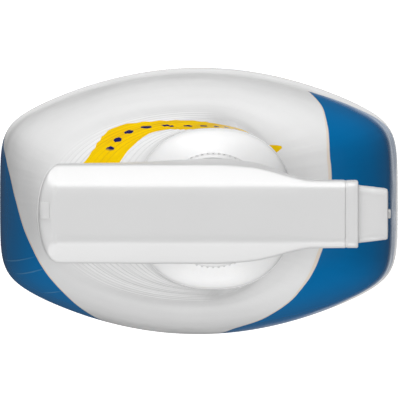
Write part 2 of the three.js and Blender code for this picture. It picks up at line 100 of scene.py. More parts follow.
def span_mm(node: str, axis: Axis) -> tuple[float, float]:
    """Gives where a CAD node starts and ends along an axis, in millimetres."""
    low, high = corners_mm(node)
    return float(low[axis.value]), float(high[axis.value])


def centre_mm(node: str, axis: Axis) -> float:
    """Gives where the middle of a CAD node's box is along an axis, in millimetres."""
    return sum(span_mm(node, axis)) / 2


def hinge_mm(joint: str) -> tuple[float, float]:
    """Gives the X and Z of a joint's axis, in millimetres."""
    x, _, z = next(j["pos_m"] for j in frame["joints"] if j["name"] == joint)
    return x / MM, z / MM


def ease(share: float | np.ndarray) -> np.ndarray:
    """Clips a share to run from 0 to 1 and makes it start and stop gently."""
    share = np.clip(share, 0, 1)
    return share * share * (3 - 2 * share)


# ---- Mesh helpers -----------------------------------------------------------------------------


def make_object(name: str, points: np.ndarray, faces: list[Sequence[int]]) -> bpy.types.Object:
    """Makes a smooth-shaded mesh object from millimetre points.

    Args:
        name: the object's name.
        points: an N by 3 array, in millimetres.
        faces: vertex numbers, counter-clockwise from outside.

    Returns:
        The linked object, at the origin.
    """
    mesh = bpy.data.meshes.new(name)
    mesh.from_pydata((np.asarray(points) * MM).tolist(), [], faces)
    mesh.update()
    mesh.shade_smooth()
    made = bpy.data.objects.new(name, mesh)
    bpy.context.scene.collection.objects.link(made)
    return made


def skin(rings: Rings) -> tuple[np.ndarray, list[tuple[int, ...]]]:
    """Joins rings of points into a closed surface.

    Args:
        rings: arrays of points with the same count, or of one point at a pole.

    Returns:
        The points and the faces.
    """
    starts = np.cumsum([0] + [len(r) for r in rings])
    faces: list[tuple[int, ...]] = []
    for k, (low, high) in enumerate(zip(rings, rings[1:])):
        a, b = int(starts[k]), int(starts[k + 1])
        count = max(len(low), len(high))
        for i in range(count):
            j = (i + 1) % count
            if len(low) == 1:
                faces.append((a, b + j, b + i))
            elif len(high) == 1:
                faces.append((a + i, a + j, b))
            else:
                faces.append((a + i, a + j, b + j, b + i))
    return np.vstack(rings), faces


def closed_loop(rings: Rings) -> tuple[np.ndarray, list[tuple[int, ...]]]:
    """Joins rings into a closed tube wall, the last ring meeting the first.

    Args:
        rings: arrays of points with the same count.

    Returns:
        The points and the faces.
    """
    count, total = len(rings[0]), len(rings)
    faces = []
    for k in range(total):
        a, b = k * count, (k + 1) % total * count
        for i in range(count):
            j = (i + 1) % count
            faces.append((a + i, a + j, b + j, b + i))
    return np.vstack(rings), faces


def face_outwards(made: bpy.types.Object) -> bpy.types.Object:
    """Merges a closed mesh's doubles and turns every face outwards.

    Args:
        made: the object.

    Returns:
        The same object.
    """
    work = bmesh.new()
    work.from_mesh(made.data)
    bmesh.ops.remove_doubles(work, verts=work.verts, dist=1e-7)
    bmesh.ops.recalc_face_normals(work, faces=work.faces)
    work.to_mesh(made.data)
    work.free()
    made.data.shade_smooth()
    return made


def sharpen(made: bpy.types.Object, degrees: float = 38.0) -> bpy.types.Object:
    """Marks a mesh's hard edges so that its flat faces shade flat.

    Args:
        made: the object.
        degrees: the angle between faces from which an edge is hard.

    Returns:
        The same object.
    """
    made.data.set_sharp_from_angle(angle=math.radians(degrees))
    return made


def bevelled(made: bpy.types.Object, width: float, segments: int = 2) -> bpy.types.Object:
    """Rounds a mesh's hard edges.

    Args:
        made: the object.
        width: the rounding, in millimetres.
        segments: faces across each rounding.

    Returns:
        The same object, with its mesh replaced by the rounded one.
    """
    bevel = made.modifiers.new("rounded edges", "BEVEL")
    bevel.width = width * MM
    bevel.segments = segments
    bevel.limit_method = "ANGLE"
    bevel.angle_limit = math.radians(30)
    bevel.use_clamp_overlap = True
    bevel.harden_normals = False
    return settle(made)


def settle(made: bpy.types.Object) -> bpy.types.Object:
    """Replaces an object's mesh by what its modifiers make of it, and removes them.

    Args:
        made: the object.

    Returns:
        The same object.
    """
    bpy.context.view_layer.update()
    evaluated = made.evaluated_get(bpy.context.evaluated_depsgraph_get())
    mesh = bpy.data.meshes.new_from_object(evaluated)
    made.modifiers.clear()
    made.data = mesh
    return made


def join(name: str, parts: Sequence[bpy.types.Object]) -> bpy.types.Object:
    """Puts several meshes into one object.

    Args:
        name: the new object's name.
        parts: the objects, which are used up.

    Returns:
        The joined object.
    """
    points, faces, smooth, first = [], [], [], 0
    for part in parts:
        mesh = part.data
        co = np.array([v.co for v in mesh.vertices]) / MM
        points.append(co)
        faces += [tuple(first + v for v in p.vertices) for p in mesh.polygons]
        smooth += [p.use_smooth for p in mesh.polygons]
        first += len(co)
        bpy.data.objects.remove(part)
    whole = make_object(name, np.vstack(points), faces)
    whole.data.polygons.foreach_set("use_smooth", smooth)
    return sharpen(whole)


def placed(profile: np.ndarray, axis: Axis, at: Sequence[float], sides: int) -> Rings:
    """Turns a profile's points about an axis.

    Args:
        profile: rows of radius and distance along the axis.
        axis: the axis they turn about.
        at: a point on that axis.
        sides: points round each ring.

    Returns:
        One ring for each profile point, or one point where the radius is nought.
    """
    angles = np.linspace(0, 2 * np.pi, sides, endpoint=False)
    across = [i for i in range(3) if i != axis.value]
    rings = []
    for radius, along in profile:
        around = angles if radius > 1e-6 else angles[:1]
        ring = np.tile(np.array(at, float), (len(around), 1))
        ring[:, axis.value] = along
        ring[:, across[0]] += radius * np.cos(around)
        ring[:, across[1]] += radius * np.sin(around)
        rings.append(ring)
    return rings


def rounded(profile: Profile, radius: float, steps: int = 3) -> np.ndarray:
    """Rounds the corners of a profile.

    Args:
        profile: corner points, open or closed by the caller.
        radius: the rounding, in millimetres, cut down where a side is short.
        steps: points added round each corner.

    Returns:
        The finer profile.
    """
    raw = np.array(profile, float)
    out = [raw[0]]
    for before, corner, after in zip(raw, raw[1:], raw[2:]):
        back, ahead = before - corner, after - corner
        size = min(radius, 0.45 * np.linalg.norm(back), 0.45 * np.linalg.norm(ahead))
        start = corner + back / np.linalg.norm(back) * size
        end = corner + ahead / np.linalg.norm(ahead) * size
        for t in np.linspace(0, 1, steps + 1):
            out.append((1 - t) ** 2 * start + 2 * t * (1 - t) * corner + t**2 * end)
    out.append(raw[-1])
    return np.array(out)


def turned(
    name: str,
    profile: Profile,
    axis: Axis,
    at: Sequence[float],
    sides: int = 72,
    edge: float = 0.15,
    hollow: bool = False,
) -> bpy.types.Object:
    """Makes a turned piece.

    Args:
        name: the object's name.
        profile: rows of radius and distance along the axis, closed on the axis at both ends,
            or all round if the piece has a hole through it.
        axis: the axis.
        at: a point on it.
        sides: faces around.
        edge: rounding of its corners, in millimetres.
        hollow: whether the profile is a closed outline off the axis.

    Returns:
        The object.
    """
    if hollow:
        loop = list(profile)
        ends = rounded([loop[-1], *loop, loop[0]], edge)[1:-1]
        points, faces = closed_loop(placed(ends, axis, at, sides))
    else:
        points, faces = skin(placed(rounded(profile, edge), axis, at, sides))
    return sharpen(face_outwards(make_object(name, points, faces)))


def block(name: str, x: Ends, y: Ends, z: Ends, edge: float = 0.3) -> bpy.types.Object:
    """Makes a box with rounded edges.

    Args:
        name: the object's name.
        x: its two ends along X, in millimetres.
        y: its two ends along Y.
        z: its two ends along Z.
        edge: the rounding, in millimetres.

    Returns:
        The object.
    """
    low, high = np.array([x[0], y[0], z[0]], float), np.array([x[1], y[1], z[1]], float)
    bits = np.array([[i & 1, i >> 1 & 1, i >> 2 & 1] for i in range(8)])
    faces = [(0, 2, 3, 1), (4, 5, 7, 6), (0, 1, 5, 4), (2, 6, 7, 3), (0, 4, 6, 2), (1, 3, 7, 5)]
    return bevelled(make_object(name, low + bits * (high - low), faces), edge)


def slab(
    name: str, outline: Profile, low: float, high: float, edge: float = 0.3
) -> bpy.types.Object:
    """Gives an outline in X and Z a thickness along Y, with rounded edges.

    Args:
        name: the object's name.
        outline: X and Z of each corner.
        low: the lower Y.
        high: the upper Y.
        edge: the rounding, in millimetres.

    Returns:
        The object.
    """
    near = [(x, low, z) for x, z in outline]
    far = [(x, high, z) for x, z in outline]
    count = len(near)
    faces: list[Sequence[int]] = [tuple(range(count)), tuple(range(2 * count - 1, count - 1, -1))]
    faces += [(i, i + count, (i + 1) % count + count, (i + 1) % count) for i in range(count)]
    made = face_outwards(make_object(name, np.array(near + far), faces))
    return bevelled(made, edge)


def smooth_table(at: Sequence[float], rows: np.ndarray) -> Callable[[np.ndarray], np.ndarray]:
    """Fits a smooth curve that doesn't overshoot through each column of a table.

    Args:
        at: increasing positions.
        rows: one row of values for each position.

    Returns:
        A function from positions to rows.
    """
    x, y = np.array(at, float), np.array(rows, float)
    step = np.diff(x)[:, None]
    slope = np.diff(y, axis=0) / step
    tangent = np.zeros_like(y)
    before, after = slope[:-1], slope[1:]
    same = before * after > 0
    total = before + after
    tangent[1:-1] = np.where(same, 2 * before * after / np.where(same, total, 1), 0)
    tangent[0], tangent[-1] = slope[0], slope[-1]

    def value(q: np.ndarray) -> np.ndarray:
        """Gives the table's row at each position.

        Args:
            q: the positions.

        Returns:
            One row for each.
        """
        k = np.clip(np.searchsorted(x, q) - 1, 0, len(x) - 2)
        h = step[k]
        t = ((np.asarray(q, float) - x[k]) / h[:, 0])[:, None]
        return (
            (2 * t**3 - 3 * t**2 + 1) * y[k]
            + (t**3 - 2 * t**2 + t) * h * tangent[k]
            + (3 * t**2 - 2 * t**3) * y[k + 1]
            + (t**3 - t**2) * h * tangent[k + 1]
        )

    return value


# ---- Geometry Nodes ---------------------------------------------------------------------------


class NodeTree:
    """A Geometry Nodes tree with named inputs, applied to one object and then removed."""

    def __init__(self, name: str, sizes: dict[str, tuple[str, float]]) -> None:
        """Starts a tree.

        Args:
            name: the tree's name.
            sizes: each input's socket type and value, by name.
        """
        self.tree = bpy.data.node_groups.new(name, "GeometryNodeTree")
        face = self.tree.interface
        face.new_socket("Geometry", in_out="OUTPUT", socket_type="NodeSocketGeometry")
        face.new_socket("Geometry", in_out="INPUT", socket_type="NodeSocketGeometry")
        self.sizes = sizes
        self.keys = {
            key: face.new_socket(key, in_out="INPUT", socket_type=kind).identifier
            for key, (kind, _) in sizes.items()
        }
        self.inputs = add_node(self.tree, "NodeGroupInput")

    def size(self, name: str) -> bpy.types.NodeSocket:
        """Gives an input's socket."""
        return self.inputs.outputs[name]

    def add(self, kind: str, links: Inputs = None, **settings: object) -> bpy.types.Node:
        """Adds a node; see add_node."""
        return add_node(self.tree, kind, links, **settings)

    def apply(
        self,
        result: bpy.types.NodeSocket,
        material: bpy.types.Material,
        made: bpy.types.Object,
    ) -> bpy.types.Object:
        """Ends the tree, runs it on an object and keeps the mesh that it gives.

        Args:
            result: the geometry to output.
            material: what its faces are made of.
            made: the object to run it on.

        Returns:
            The same object with a plain mesh.
        """
        real = self.add("GeometryNodeRealizeInstances", {"Geometry": result})
        dress = self.add(
            "GeometryNodeSetMaterial", {"Geometry": real.outputs[0], "Material": material}
        )
        self.add("NodeGroupOutput", {"Geometry": dress.outputs[0]})
        modifier = made.modifiers.new(self.tree.name, "NODES")
        modifier.node_group = self.tree
        for name, (_, value) in self.sizes.items():
            modifier[self.keys[name]] = value
        return settle(made)


def live(value: object) -> object:
    """Gives a node's first output that is in use, or any other value as it is."""
    return next(o for o in value.outputs if o.enabled) if hasattr(value, "outputs") else value


def add_node(
    tree: bpy.types.NodeTree, kind: str, links: Inputs = None, **settings: object
) -> bpy.types.Node:
    """Adds a node with its settings and its inputs.

    Args:
        tree: the tree it goes in.
        kind: the node's type name.
        links: a node, a socket, a hex colour or a value for each input, by name or number, or
            a sequence of them for the first inputs.
        **settings: the node's own properties.

    Returns:
        The node.
    """
    node = tree.nodes.new(kind)
    for key, value in settings.items():
        setattr(node, key, value)
    pairs = links.items() if isinstance(links, dict) else enumerate(links or ())
    for key, value in pairs:
        source = live(value)
        if isinstance(source, bpy.types.NodeSocket):
            tree.links.new(source, node.inputs[key])
        else:
            node.inputs[key].default_value = linear(source) if isinstance(source, str) else source
    return node


# ---- Finishes ---------------------------------------------------------------------------------


def linear(code: str) -> tuple[float, float, float, float]:
    """Turns an sRGB hex colour into the linear values that shaders take.

    Args:
        code: the colour, as #rrggbb.

    Returns:
        Red, green, blue and a full alpha.
    """
    parts = [int(code[i : i + 2], 16) / 255 for i in (1, 3, 5)]
    straight = [v / 12.92 if v <= 0.04045 else ((v + 0.055) / 1.055) ** 2.4 for v in parts]
    return (*straight, 1.0)


class Look:
    """A material's node tree, with its Principled shader and its place on the piece."""

    def __init__(self, name: str, **sockets: object) -> None:
        """Starts a material.

        Args:
            name: the real material it stands for.
            **sockets: Principled inputs, with spaces written as underscores.
        """
        self.material = bpy.data.materials.new(name)
        self.material.use_nodes = True
        self.tree = self.material.node_tree
        self.tree.nodes.clear()
        named = {key.replace("_", " "): value for key, value in sockets.items()}
        self.bsdf = self.add("ShaderNodeBsdfPrincipled", named)
        self.add("ShaderNodeOutputMaterial", {"Surface": self.bsdf})
        self.place = self.add("ShaderNodeTexCoord").outputs["Object"]

    def add(self, kind: str, links: Inputs = None, **settings: object) -> bpy.types.Node:
        """Adds a node; see add_node."""
        return add_node(self.tree, kind, links, **settings)

    def feed(self, **sockets: object) -> None:
        """Links nodes or sockets to the shader's inputs."""
        for key, value in sockets.items():
            self.tree.links.new(live(value), self.bsdf.inputs[key.replace("_", " ")])

    def mottle(self, size_mm: float, low: float, high: float, detail: float = 2) -> bpy.types.Node:
        """Makes soft blotches that go from one value to another.

        Args:
            size_mm: how far it is from one blotch to the next.
            low: the value in the hollows.
            high: the value on the peaks.
            detail: how many finer layers lie on top.

        Returns:
            The node that gives the value.
        """
        blotches = {"Vector": self.place, "Scale": 1 / (size_mm * MM), "Detail": detail}
        cloud = self.add("ShaderNodeTexNoise", blotches)
        return self.add("ShaderNodeMapRange", (cloud, 0.3, 0.7, low, high))

    def blend(
        self, size_mm: float, colours: tuple[str, str], detail: float = 2, most: float = 1
    ) -> bpy.types.Node:
        """Lets one colour drift into another in soft blotches.

        Args:
            size_mm: how far it is from one blotch to the next.
            colours: the main colour and the other one, as hex codes.
            detail: how many finer layers lie on top.
            most: the largest share of the other colour.

        Returns:
            The node that gives the colour.
        """
        share = self.mottle(size_mm, 0, most, detail)
        links = {0: share, 6: colours[0], 7: colours[1]}
        return self.add("ShaderNodeMix", links, data_type="RGBA")


@dataclass(frozen=True)
class MouldedPlastic:
    """A plastic moulded against polished or lightly textured steel.

    Its colour is even with a faint flow mottle, its satin gloss drifts from place to place, and
    the skin has the fine orange peel that softens every reflection.
    """

    name: str
    colour: str
    flow: str
    gloss: tuple[float, float] = (0.285, 0.3)
    glow: float = 0.0
    peel_mm: float = 1.1
    depth_mm: float = 0.007

    def make(self) -> bpy.types.Material:
        """Builds the material.

        Returns:
            The material.
        """
        look = Look(
            self.name, IOR=1.49, Subsurface_Weight=self.glow,
            Subsurface_Radius=(1.0, 0.95, 0.85), Subsurface_Scale=0.8 * MM,
        )
        colour = look.blend(16, (self.colour, self.flow), 3)
        peel = look.mottle(self.peel_mm, 0, 1, 3)
        bump = look.add("ShaderNodeBump", {"Height": peel, "Distance": self.depth_mm * MM})
        look.feed(Base_Color=colour, Roughness=look.mottle(5, *self.gloss, 4), Normal=bump)
        return look.material


@dataclass(frozen=True)
class SoftSeal:
    """Moulded thermoplastic rubber: dull grey with a powdery grain that kills its highlights."""

    name: str
    colour: str
    bloom: str

    def make(self) -> bpy.types.Material:
        """Builds the material.

        Returns:
            The material.
        """
        look = Look(self.name, IOR=1.5)
        colour = look.blend(1.5, (self.colour, self.bloom), 5)
        grain = look.mottle(0.4, 0, 1, 3)
        bump = look.add("ShaderNodeBump", {"Height": grain, "Distance": 0.012 * MM})
        look.feed(Base_Color=colour, Roughness=look.mottle(0.8, 0.55, 0.75), Normal=bump)
        return look.material


@dataclass(frozen=True)
class ClearTube:
    """Extruded natural polyethylene: milky, half clear, with fine draw lines along it."""

    name: str
    colour: str

    def make(self) -> bpy.types.Material:
        """Builds the material.

        Returns:
            The material.
        """
        look = Look(self.name, IOR=1.51, Transmission_Weight=0.55)
        stretched = look.add("ShaderNodeMapping", {"Vector": look.place, "Scale": (1, 1, 0.05)})
        lines = look.add("ShaderNodeTexNoise", {"Vector": stretched, "Scale": 1 / (0.4 * MM)})
        look.feed(
            Base_Color=look.blend(3, (self.colour, "#f4f7f7")),
            Roughness=look.add("ShaderNodeMapRange", {0: lines, 3: 0.25, 4: 0.45}),
            Normal=look.add("ShaderNodeBump", {"Height": lines, "Distance": 0.01 * MM}),
        )
        return look.material


@dataclass(frozen=True)
class BrightSteel:
    """Stainless steel, drawn as wire or ground as balls: bright, with fine scratches."""

    name: str
    colour: str

    def make(self) -> bpy.types.Material:
        """Builds the material.

        Returns:
            The material.
        """
        look = Look(self.name, Metallic=1.0)
        colour = look.blend(2, (self.colour, "#8f9296"), most=0.4)
        scratches = look.mottle(0.25, 0, 1)
        bump = look.add("ShaderNodeBump", {"Height": scratches, "Distance": 0.003 * MM})
        look.feed(Base_Color=colour, Roughness=look.mottle(0.3, 0.14, 0.3, 4), Normal=bump)
        return look.material


@dataclass(frozen=True)
class PrintedFilm:
    """A gravure-printed PET sleeve, shrunk on by steam.

    The ink gives flat areas of white, deep blue, cream and yellow with crisp edges, the glossy
    film over it gives sharp highlights, and its shrinkage leaves faint puckers and creases,
    with a pale blue painted highlight mixed into the blue along each crease.
    Each edge is a table of an angle round the sleeve, in degrees from the spray side, and the
    height there in millimetres. Each fold has its angle at the foot and at the top, and the
    heights where it starts and ends.
    """

    name: str = "printed_pet_shrink_film"
    white: str = "#f6f6f6"
    blue: str = "#0070af"
    blue_deep: str = "#006ba8"
    cream: str = "#f1e4d6"
    yellow: str = "#ffd500"
    yellow_warm: str = "#f7c600"
    navy: str = "#1a1a5e"
    height: float = 200.0
    bleed_mm: float = 0.12
    line_mm: float = 0.45
    dots: float = 48.0
    ring_z: float = 0.05
    folds: Sequence[tuple[float, float, float, float]] = (
        (203.3, 206.5, 104.0, 145.0), (209.8, 213.2, 118.0, 146.0), (220.6, 224.2, 122.0, 136.0),
    )
    blue_top: Profile = (
        (0, 147), (14.5, 145.6), (19.5, 145.2), (25.5, 144.5), (31.5, 142.7), (37, 139.8),
        (42.5, 135.5), (47.5, 129), (53.5, 119.5), (58, 110), (64, 100), (72, 94), (90, 88),
        (120, 80), (142, 78), (150, 82), (156, 103.5), (160, 116), (164.5, 122), (169, 127),
        (174.5, 131.5), (180, 135.5), (185.5, 138.5), (192, 141.2), (198, 143.3), (204.5, 144.4),
        (210.5, 143.8), (217, 141.3), (223, 137.5), (228, 132.8), (231.5, 128.5), (234.5, 124.5),
        (238, 118.5), (243, 108), (250, 96), (260, 90), (270, 96), (277, 112), (282.5, 124),
        (290.5, 130), (298.5, 136), (308, 140.8), (313.5, 143.2), (321.5, 145.4), (328, 146.5),
        (335, 147), (360, 147),
    )
    blue_foot: Profile = (
        (0, 90), (13.5, 86), (23, 79), (29, 82), (33.5, 90), (41.5, 103), (46.5, 106.5),
        (51.5, 110.5), (58, 113.6), (70, 116), (100, 118), (130, 100), (144, 60), (152, 20),
        (180, 25), (230, 40), (270, 70), (300, 98), (308, 104), (317.5, 110), (323.5, 108),
        (327, 104), (331, 95), (336, 91), (345, 89), (360, 90),
    )
    ribbon_foot: Profile = (
        (0, 190), (30.5, 172), (31.9, 165), (33.5, 158.4), (36.2, 155.3), (38.3, 157.6),
        (40.6, 163.5), (45, 172), (49, 174), (53, 169.5), (58.5, 170.8), (68.5, 175.5),
        (76, 176.5), (85, 175), (95, 170.5), (104.5, 167), (111.5, 164.2), (116, 162.5),
        (120, 160.8), (125.5, 160.6), (129.5, 162), (134.5, 164.5), (143, 167.8),
        (149.3, 168.6), (153, 167.8), (185, 170), (200, 176), (360, 198),
    )
    ribbon_top: Profile = (
        (0, 150), (30, 158), (32, 181), (52, 181), (60, 186), (95, 189), (101, 188),
        (106, 185.5), (111, 179.5), (116.5, 177.6), (120.5, 177.5), (124.5, 178.1),
        (130, 179.4), (138.5, 180.1), (147, 180.6), (185, 178), (200, 172), (360, 150),
    )

    def table(self, look: Look, around: object, rows: Profile) -> bpy.types.Node:
        """Makes a curve node that gives a height, as a share of the sleeve's, round the sleeve.

        Args:
            look: the material.
            around: the share of a turn.
            rows: the table.

        Returns:
            The curve node.
        """
        node = look.add("ShaderNodeFloatCurve", {1: around})
        curve = node.mapping.curves[0]
        places = [(angle / 360, level / self.height) for angle, level in rows]
        for point, place in zip(curve.points, (places[0], places[-1])):
            point.location = place
        for place in places[1:-1]:
            curve.points.new(*place)
        for point in curve.points:
            point.handle_type = "AUTO_CLAMPED"
        node.mapping.update()
        return node

    def between(
        self, look: Look, up: object, low: object, high: object, margin_mm: float = 0.0
    ) -> bpy.types.Node:
        """Marks what lies between two edges of the print.

        Args:
            look: the material.
            up: the share of the height.
            low: the lower edge, as a share of the height.
            high: the upper edge.
            margin_mm: how far past both edges the mark reaches, in millimetres.

        Returns:
            The node that gives 1 inside and 0 outside, with a crisp edge.
        """
        margin, soft = margin_mm / self.height, self.bleed_mm / self.height
        over = look.add("ShaderNodeMath", (high, up), operation="SUBTRACT")
        under = look.add("ShaderNodeMath", (up, low), operation="SUBTRACT")
        inside = look.add("ShaderNodeMath", (over, under), operation="MINIMUM")
        ends = (inside, -soft - margin, soft - margin)
        return look.add("ShaderNodeMapRange", ends, interpolation_type="SMOOTHSTEP")

    def make(self) -> bpy.types.Material:
        """Builds the material.

        Returns:
            The material.
        """
        look = Look(self.name, IOR=1.45, Specular_IOR_Level=0.4)
        wrap = look.add("ShaderNodeUVMap", uv_map="wrap")
        around, up = look.add("ShaderNodeSeparateXYZ", (wrap,)).outputs[:2]
        top, foot, high, low = (
            self.table(look, around, rows)
            for rows in (self.blue_top, self.blue_foot, self.ribbon_top, self.ribbon_foot)
        )
        folds = self.creases(look, around, up)
        # The creases mix a pale blue painted highlight (#7db4d6) into the blue ink, as if each fold
        # caught the light.
        pale = look.add("ShaderNodeMath", (folds, 0.35), operation="MULTIPLY")
        marks = self.dot_row(look, around, up, low, high)
        white = look.blend(22, (self.white, "#f1f1f1"), 3)
        blue = look.blend(30, (self.blue, self.blue_deep), 3)
        gold = look.blend(9, (self.yellow, self.yellow_warm))
        blue, gold = (
            look.add("ShaderNodeMix", {0: share, 6: ink, 7: mark}, data_type="RGBA")
            for share, ink, mark in ((pale, blue, "#7db4d6"), (marks, gold, self.navy))
        )
        colour = self.panel_art(look, white)
        for share, ink in (
            (self.between(look, up, foot, top, self.line_mm), self.cream),
            (self.between(look, up, foot, top, -self.line_mm), blue),
            (self.between(look, up, low, high), gold),
        ):
            colour = look.add("ShaderNodeMix", {0: share, 6: colour, 7: ink}, data_type="RGBA")
        puckers = look.add("ShaderNodeMapping", {"Vector": wrap, "Scale": (90.0, 9.0, 1.0)})
        wave = look.add("ShaderNodeTexNoise", {"Vector": puckers, "Scale": 1.0, "Detail": 1.0})
        fine = look.mottle(3.5, 0, 0.1, 2)
        level = look.add("ShaderNodeMath", (wave, 1.2, fine), operation="MULTIPLY_ADD")
        level = look.add("ShaderNodeMath", (level, folds), operation="ADD")
        bump = look.add("ShaderNodeBump", {"Height": level, "Distance": 0.09 * MM})
        look.feed(Base_Color=colour, Roughness=look.mottle(9, 0.14, 0.22, 3), Normal=bump)
        return look.material

    def dot_row(
        self, look: Look, around: object, up: object, low: object, high: object
    ) -> bpy.types.Node:
        """Makes the row of dots along the middle of the ribbon.

        Args:
            look: the material.
            around: the share of a turn.
            up: the share of the height.
            low: the ribbon's lower edge, as a share of the height.
            high: its upper edge.

        Returns:
            The node that gives 1 on a dot.
        """
        both = look.add("ShaderNodeMath", (low, high), operation="ADD")
        off = look.add("ShaderNodeMath", (both, -0.5, up), operation="MULTIPLY_ADD")
        cell = look.add("ShaderNodeMath", (around, self.dots), operation="MULTIPLY")
        cell = look.add("ShaderNodeMath", (cell,), operation="FRACT")
        spot = look.add("ShaderNodeCombineXYZ", (cell, off))
        stretch, shift = (2.7, self.height / 2.6, 0.0), (-1.35, 0.0, 0.0)
        spot = look.add("ShaderNodeVectorMath", (spot, stretch, shift), operation="MULTIPLY_ADD")
        far = look.add("ShaderNodeVectorMath", (spot,), operation="LENGTH")
        marks = look.add("ShaderNodeMapRange", (far, 0.62, 0.74, 1.0, 0.0))
        for limits in ((0.165, 0.2, 0.0, 1.0), (0.385, 0.39, 1.0, 0.0)):
            end = look.add("ShaderNodeMapRange", (around, *limits))
            marks = look.add("ShaderNodeMath", (marks, end), operation="MULTIPLY")
        return marks

    def creases(self, look: Look, around: object, up: object) -> bpy.types.Node:
        """Makes the film's sharp folds on the back shoulder, for bump and a painted highlight.

        Args:
            look: the material.
            around: the share of a turn.
            up: the share of the height.

        Returns:
            The node that gives their height.
        """
        total = 0.0
        for start, end, low, high in self.folds:
            rise = (up, low / self.height, high / self.height)
            along = look.add("ShaderNodeMapRange", rise)
            turn = look.add("ShaderNodeMapRange", {0: along, 3: start / 360, 4: end / 360})
            away = look.add("ShaderNodeMath", (around, turn), operation="SUBTRACT")
            away = look.add("ShaderNodeMath", (away,), operation="ABSOLUTE")
            fold = look.add("ShaderNodeMapRange", (away, 0.0, 0.0012, 1.0, 0.0))
            left = look.add("ShaderNodeMath", (1.0, along), operation="SUBTRACT")
            for share in (along, left):
                fold = look.add("ShaderNodeMath", (fold, share), operation="MULTIPLY")
            total = look.add("ShaderNodeMath", (fold, 4.0, total), operation="MULTIPLY_ADD")
        return total

    def panel_art(self, look: Look, white: bpy.types.Node) -> bpy.types.Node:
        """Prints a plain ring and a drop on each broad side.

        Args:
            look: the material.
            white: the ground colour.

        Returns:
            The colour under the blue.
        """
        x, y, z = look.add("ShaderNodeSeparateXYZ", (look.place,)).outputs
        wide, deep = (look.add("ShaderNodeMath", (v,), operation="ABSOLUTE") for v in (x, y))
        up = look.add("ShaderNodeMath", (z, self.ring_z), operation="SUBTRACT")
        side = look.add("ShaderNodeMath", (deep, 0.02), operation="GREATER_THAN")
        flat = look.add("ShaderNodeVectorMath", (look.place, (1, 0, 1)), operation="MULTIPLY")
        middle, bulb = (
            look.add("ShaderNodeVectorMath", (flat, (0, 0, level)), operation="DISTANCE")
            for level in (self.ring_z, self.ring_z - 0.006)
        )
        round_part = look.add("ShaderNodeMath", (bulb, math.sqrt(0.00011)), operation="LESS_THAN")
        taper = look.add("ShaderNodeMath", (up, -0.42, 0.42 * 0.014), operation="MULTIPLY_ADD")
        above = look.add("ShaderNodeMath", (up, -0.002), operation="GREATER_THAN")
        taper = look.add("ShaderNodeMath", (taper, above), operation="MULTIPLY")
        point = look.add("ShaderNodeMath", (wide, taper), operation="LESS_THAN")
        drop = look.add("ShaderNodeMath", (round_part, point), operation="MAXIMUM")
        fade = look.add("ShaderNodeMapRange", (up, -0.025, 0.025))
        core = self.blue
        for share, ink in ((fade, "#3f9fd6"), (drop, self.white)):
            core = look.add("ShaderNodeMix", {0: share, 6: core, 7: ink}, data_type="RGBA")
        colour = white
        for radius, ink in ((0.0275, self.yellow), (0.0245, core)):
            disc = look.add("ShaderNodeMapRange", (middle, radius, radius + 0.0002, 1.0, 0.0))
            disc = look.add("ShaderNodeMath", (disc, side), operation="MULTIPLY")
            colour = look.add("ShaderNodeMix", {0: disc, 6: colour, 7: ink}, data_type="RGBA")
        return colour


@dataclass(frozen=True)
class Finishes:
    """Every material of the sprayer, made once."""

    white_pp: bpy.types.Material
    natural_pp: bpy.types.Material
    hdpe: bpy.types.Material
    film: bpy.types.Material
    tube: bpy.types.Material
    seal: bpy.types.Material
    steel: bpy.types.Material


def make_finishes() -> Finishes:
    """Makes every material.

    Returns:
        The set of them.
    """
    return Finishes(
        # Injection-moulded white polypropylene: bright satin with a soft orange peel.
        white_pp=MouldedPlastic("moulded_white_polypropylene", "#dadada", "#d8d8d8").make(),
        # The same plastic without pigment: greyer, milky and slightly see-through.
        natural_pp=MouldedPlastic(
            "moulded_natural_polypropylene", "#dcdcd3", "#d3d4cb", gloss=(0.3, 0.42), glow=0.25
        ).make(),
        # Blow-moulded high-density polyethylene: waxy white with a coarser skin.
        hdpe=MouldedPlastic(
            "blow_moulded_hdpe", "#f4f4f4", "#efefef", (0.36, 0.48), 0.15, 1.8, 0.03
        ).make(),
        film=PrintedFilm().make(),
        tube=ClearTube("extruded_polyethylene", "#dfe6ea").make(),
        seal=SoftSeal("moulded_tpe_seal", "#8f949a", "#a3a7ab").make(),
        steel=BrightSteel("stainless_steel", "#c4c7ca").make(),
    )


def finish_piece(
    made: bpy.types.Object,
    material: bpy.types.Material,
    body: str,
    nodes: Sequence[str],
) -> bpy.types.Object:
    """Dresses a piece, hangs it on its body and reports it.

    Args:
        made: the piece.
        material: what it is made of.
        body: the body it rides on.
        nodes: the CAD nodes it stands for.

    Returns:
        The piece.
    """
    made.data.materials.clear()
    made.data.materials.append(material)
    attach(made, body)
    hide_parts(*nodes)
    log.info("%s: %d faces, on %s", made.name, len(made.data.polygons), body)
    return made


# ---- The bottle and its sleeve ----------------------------------------------------------------


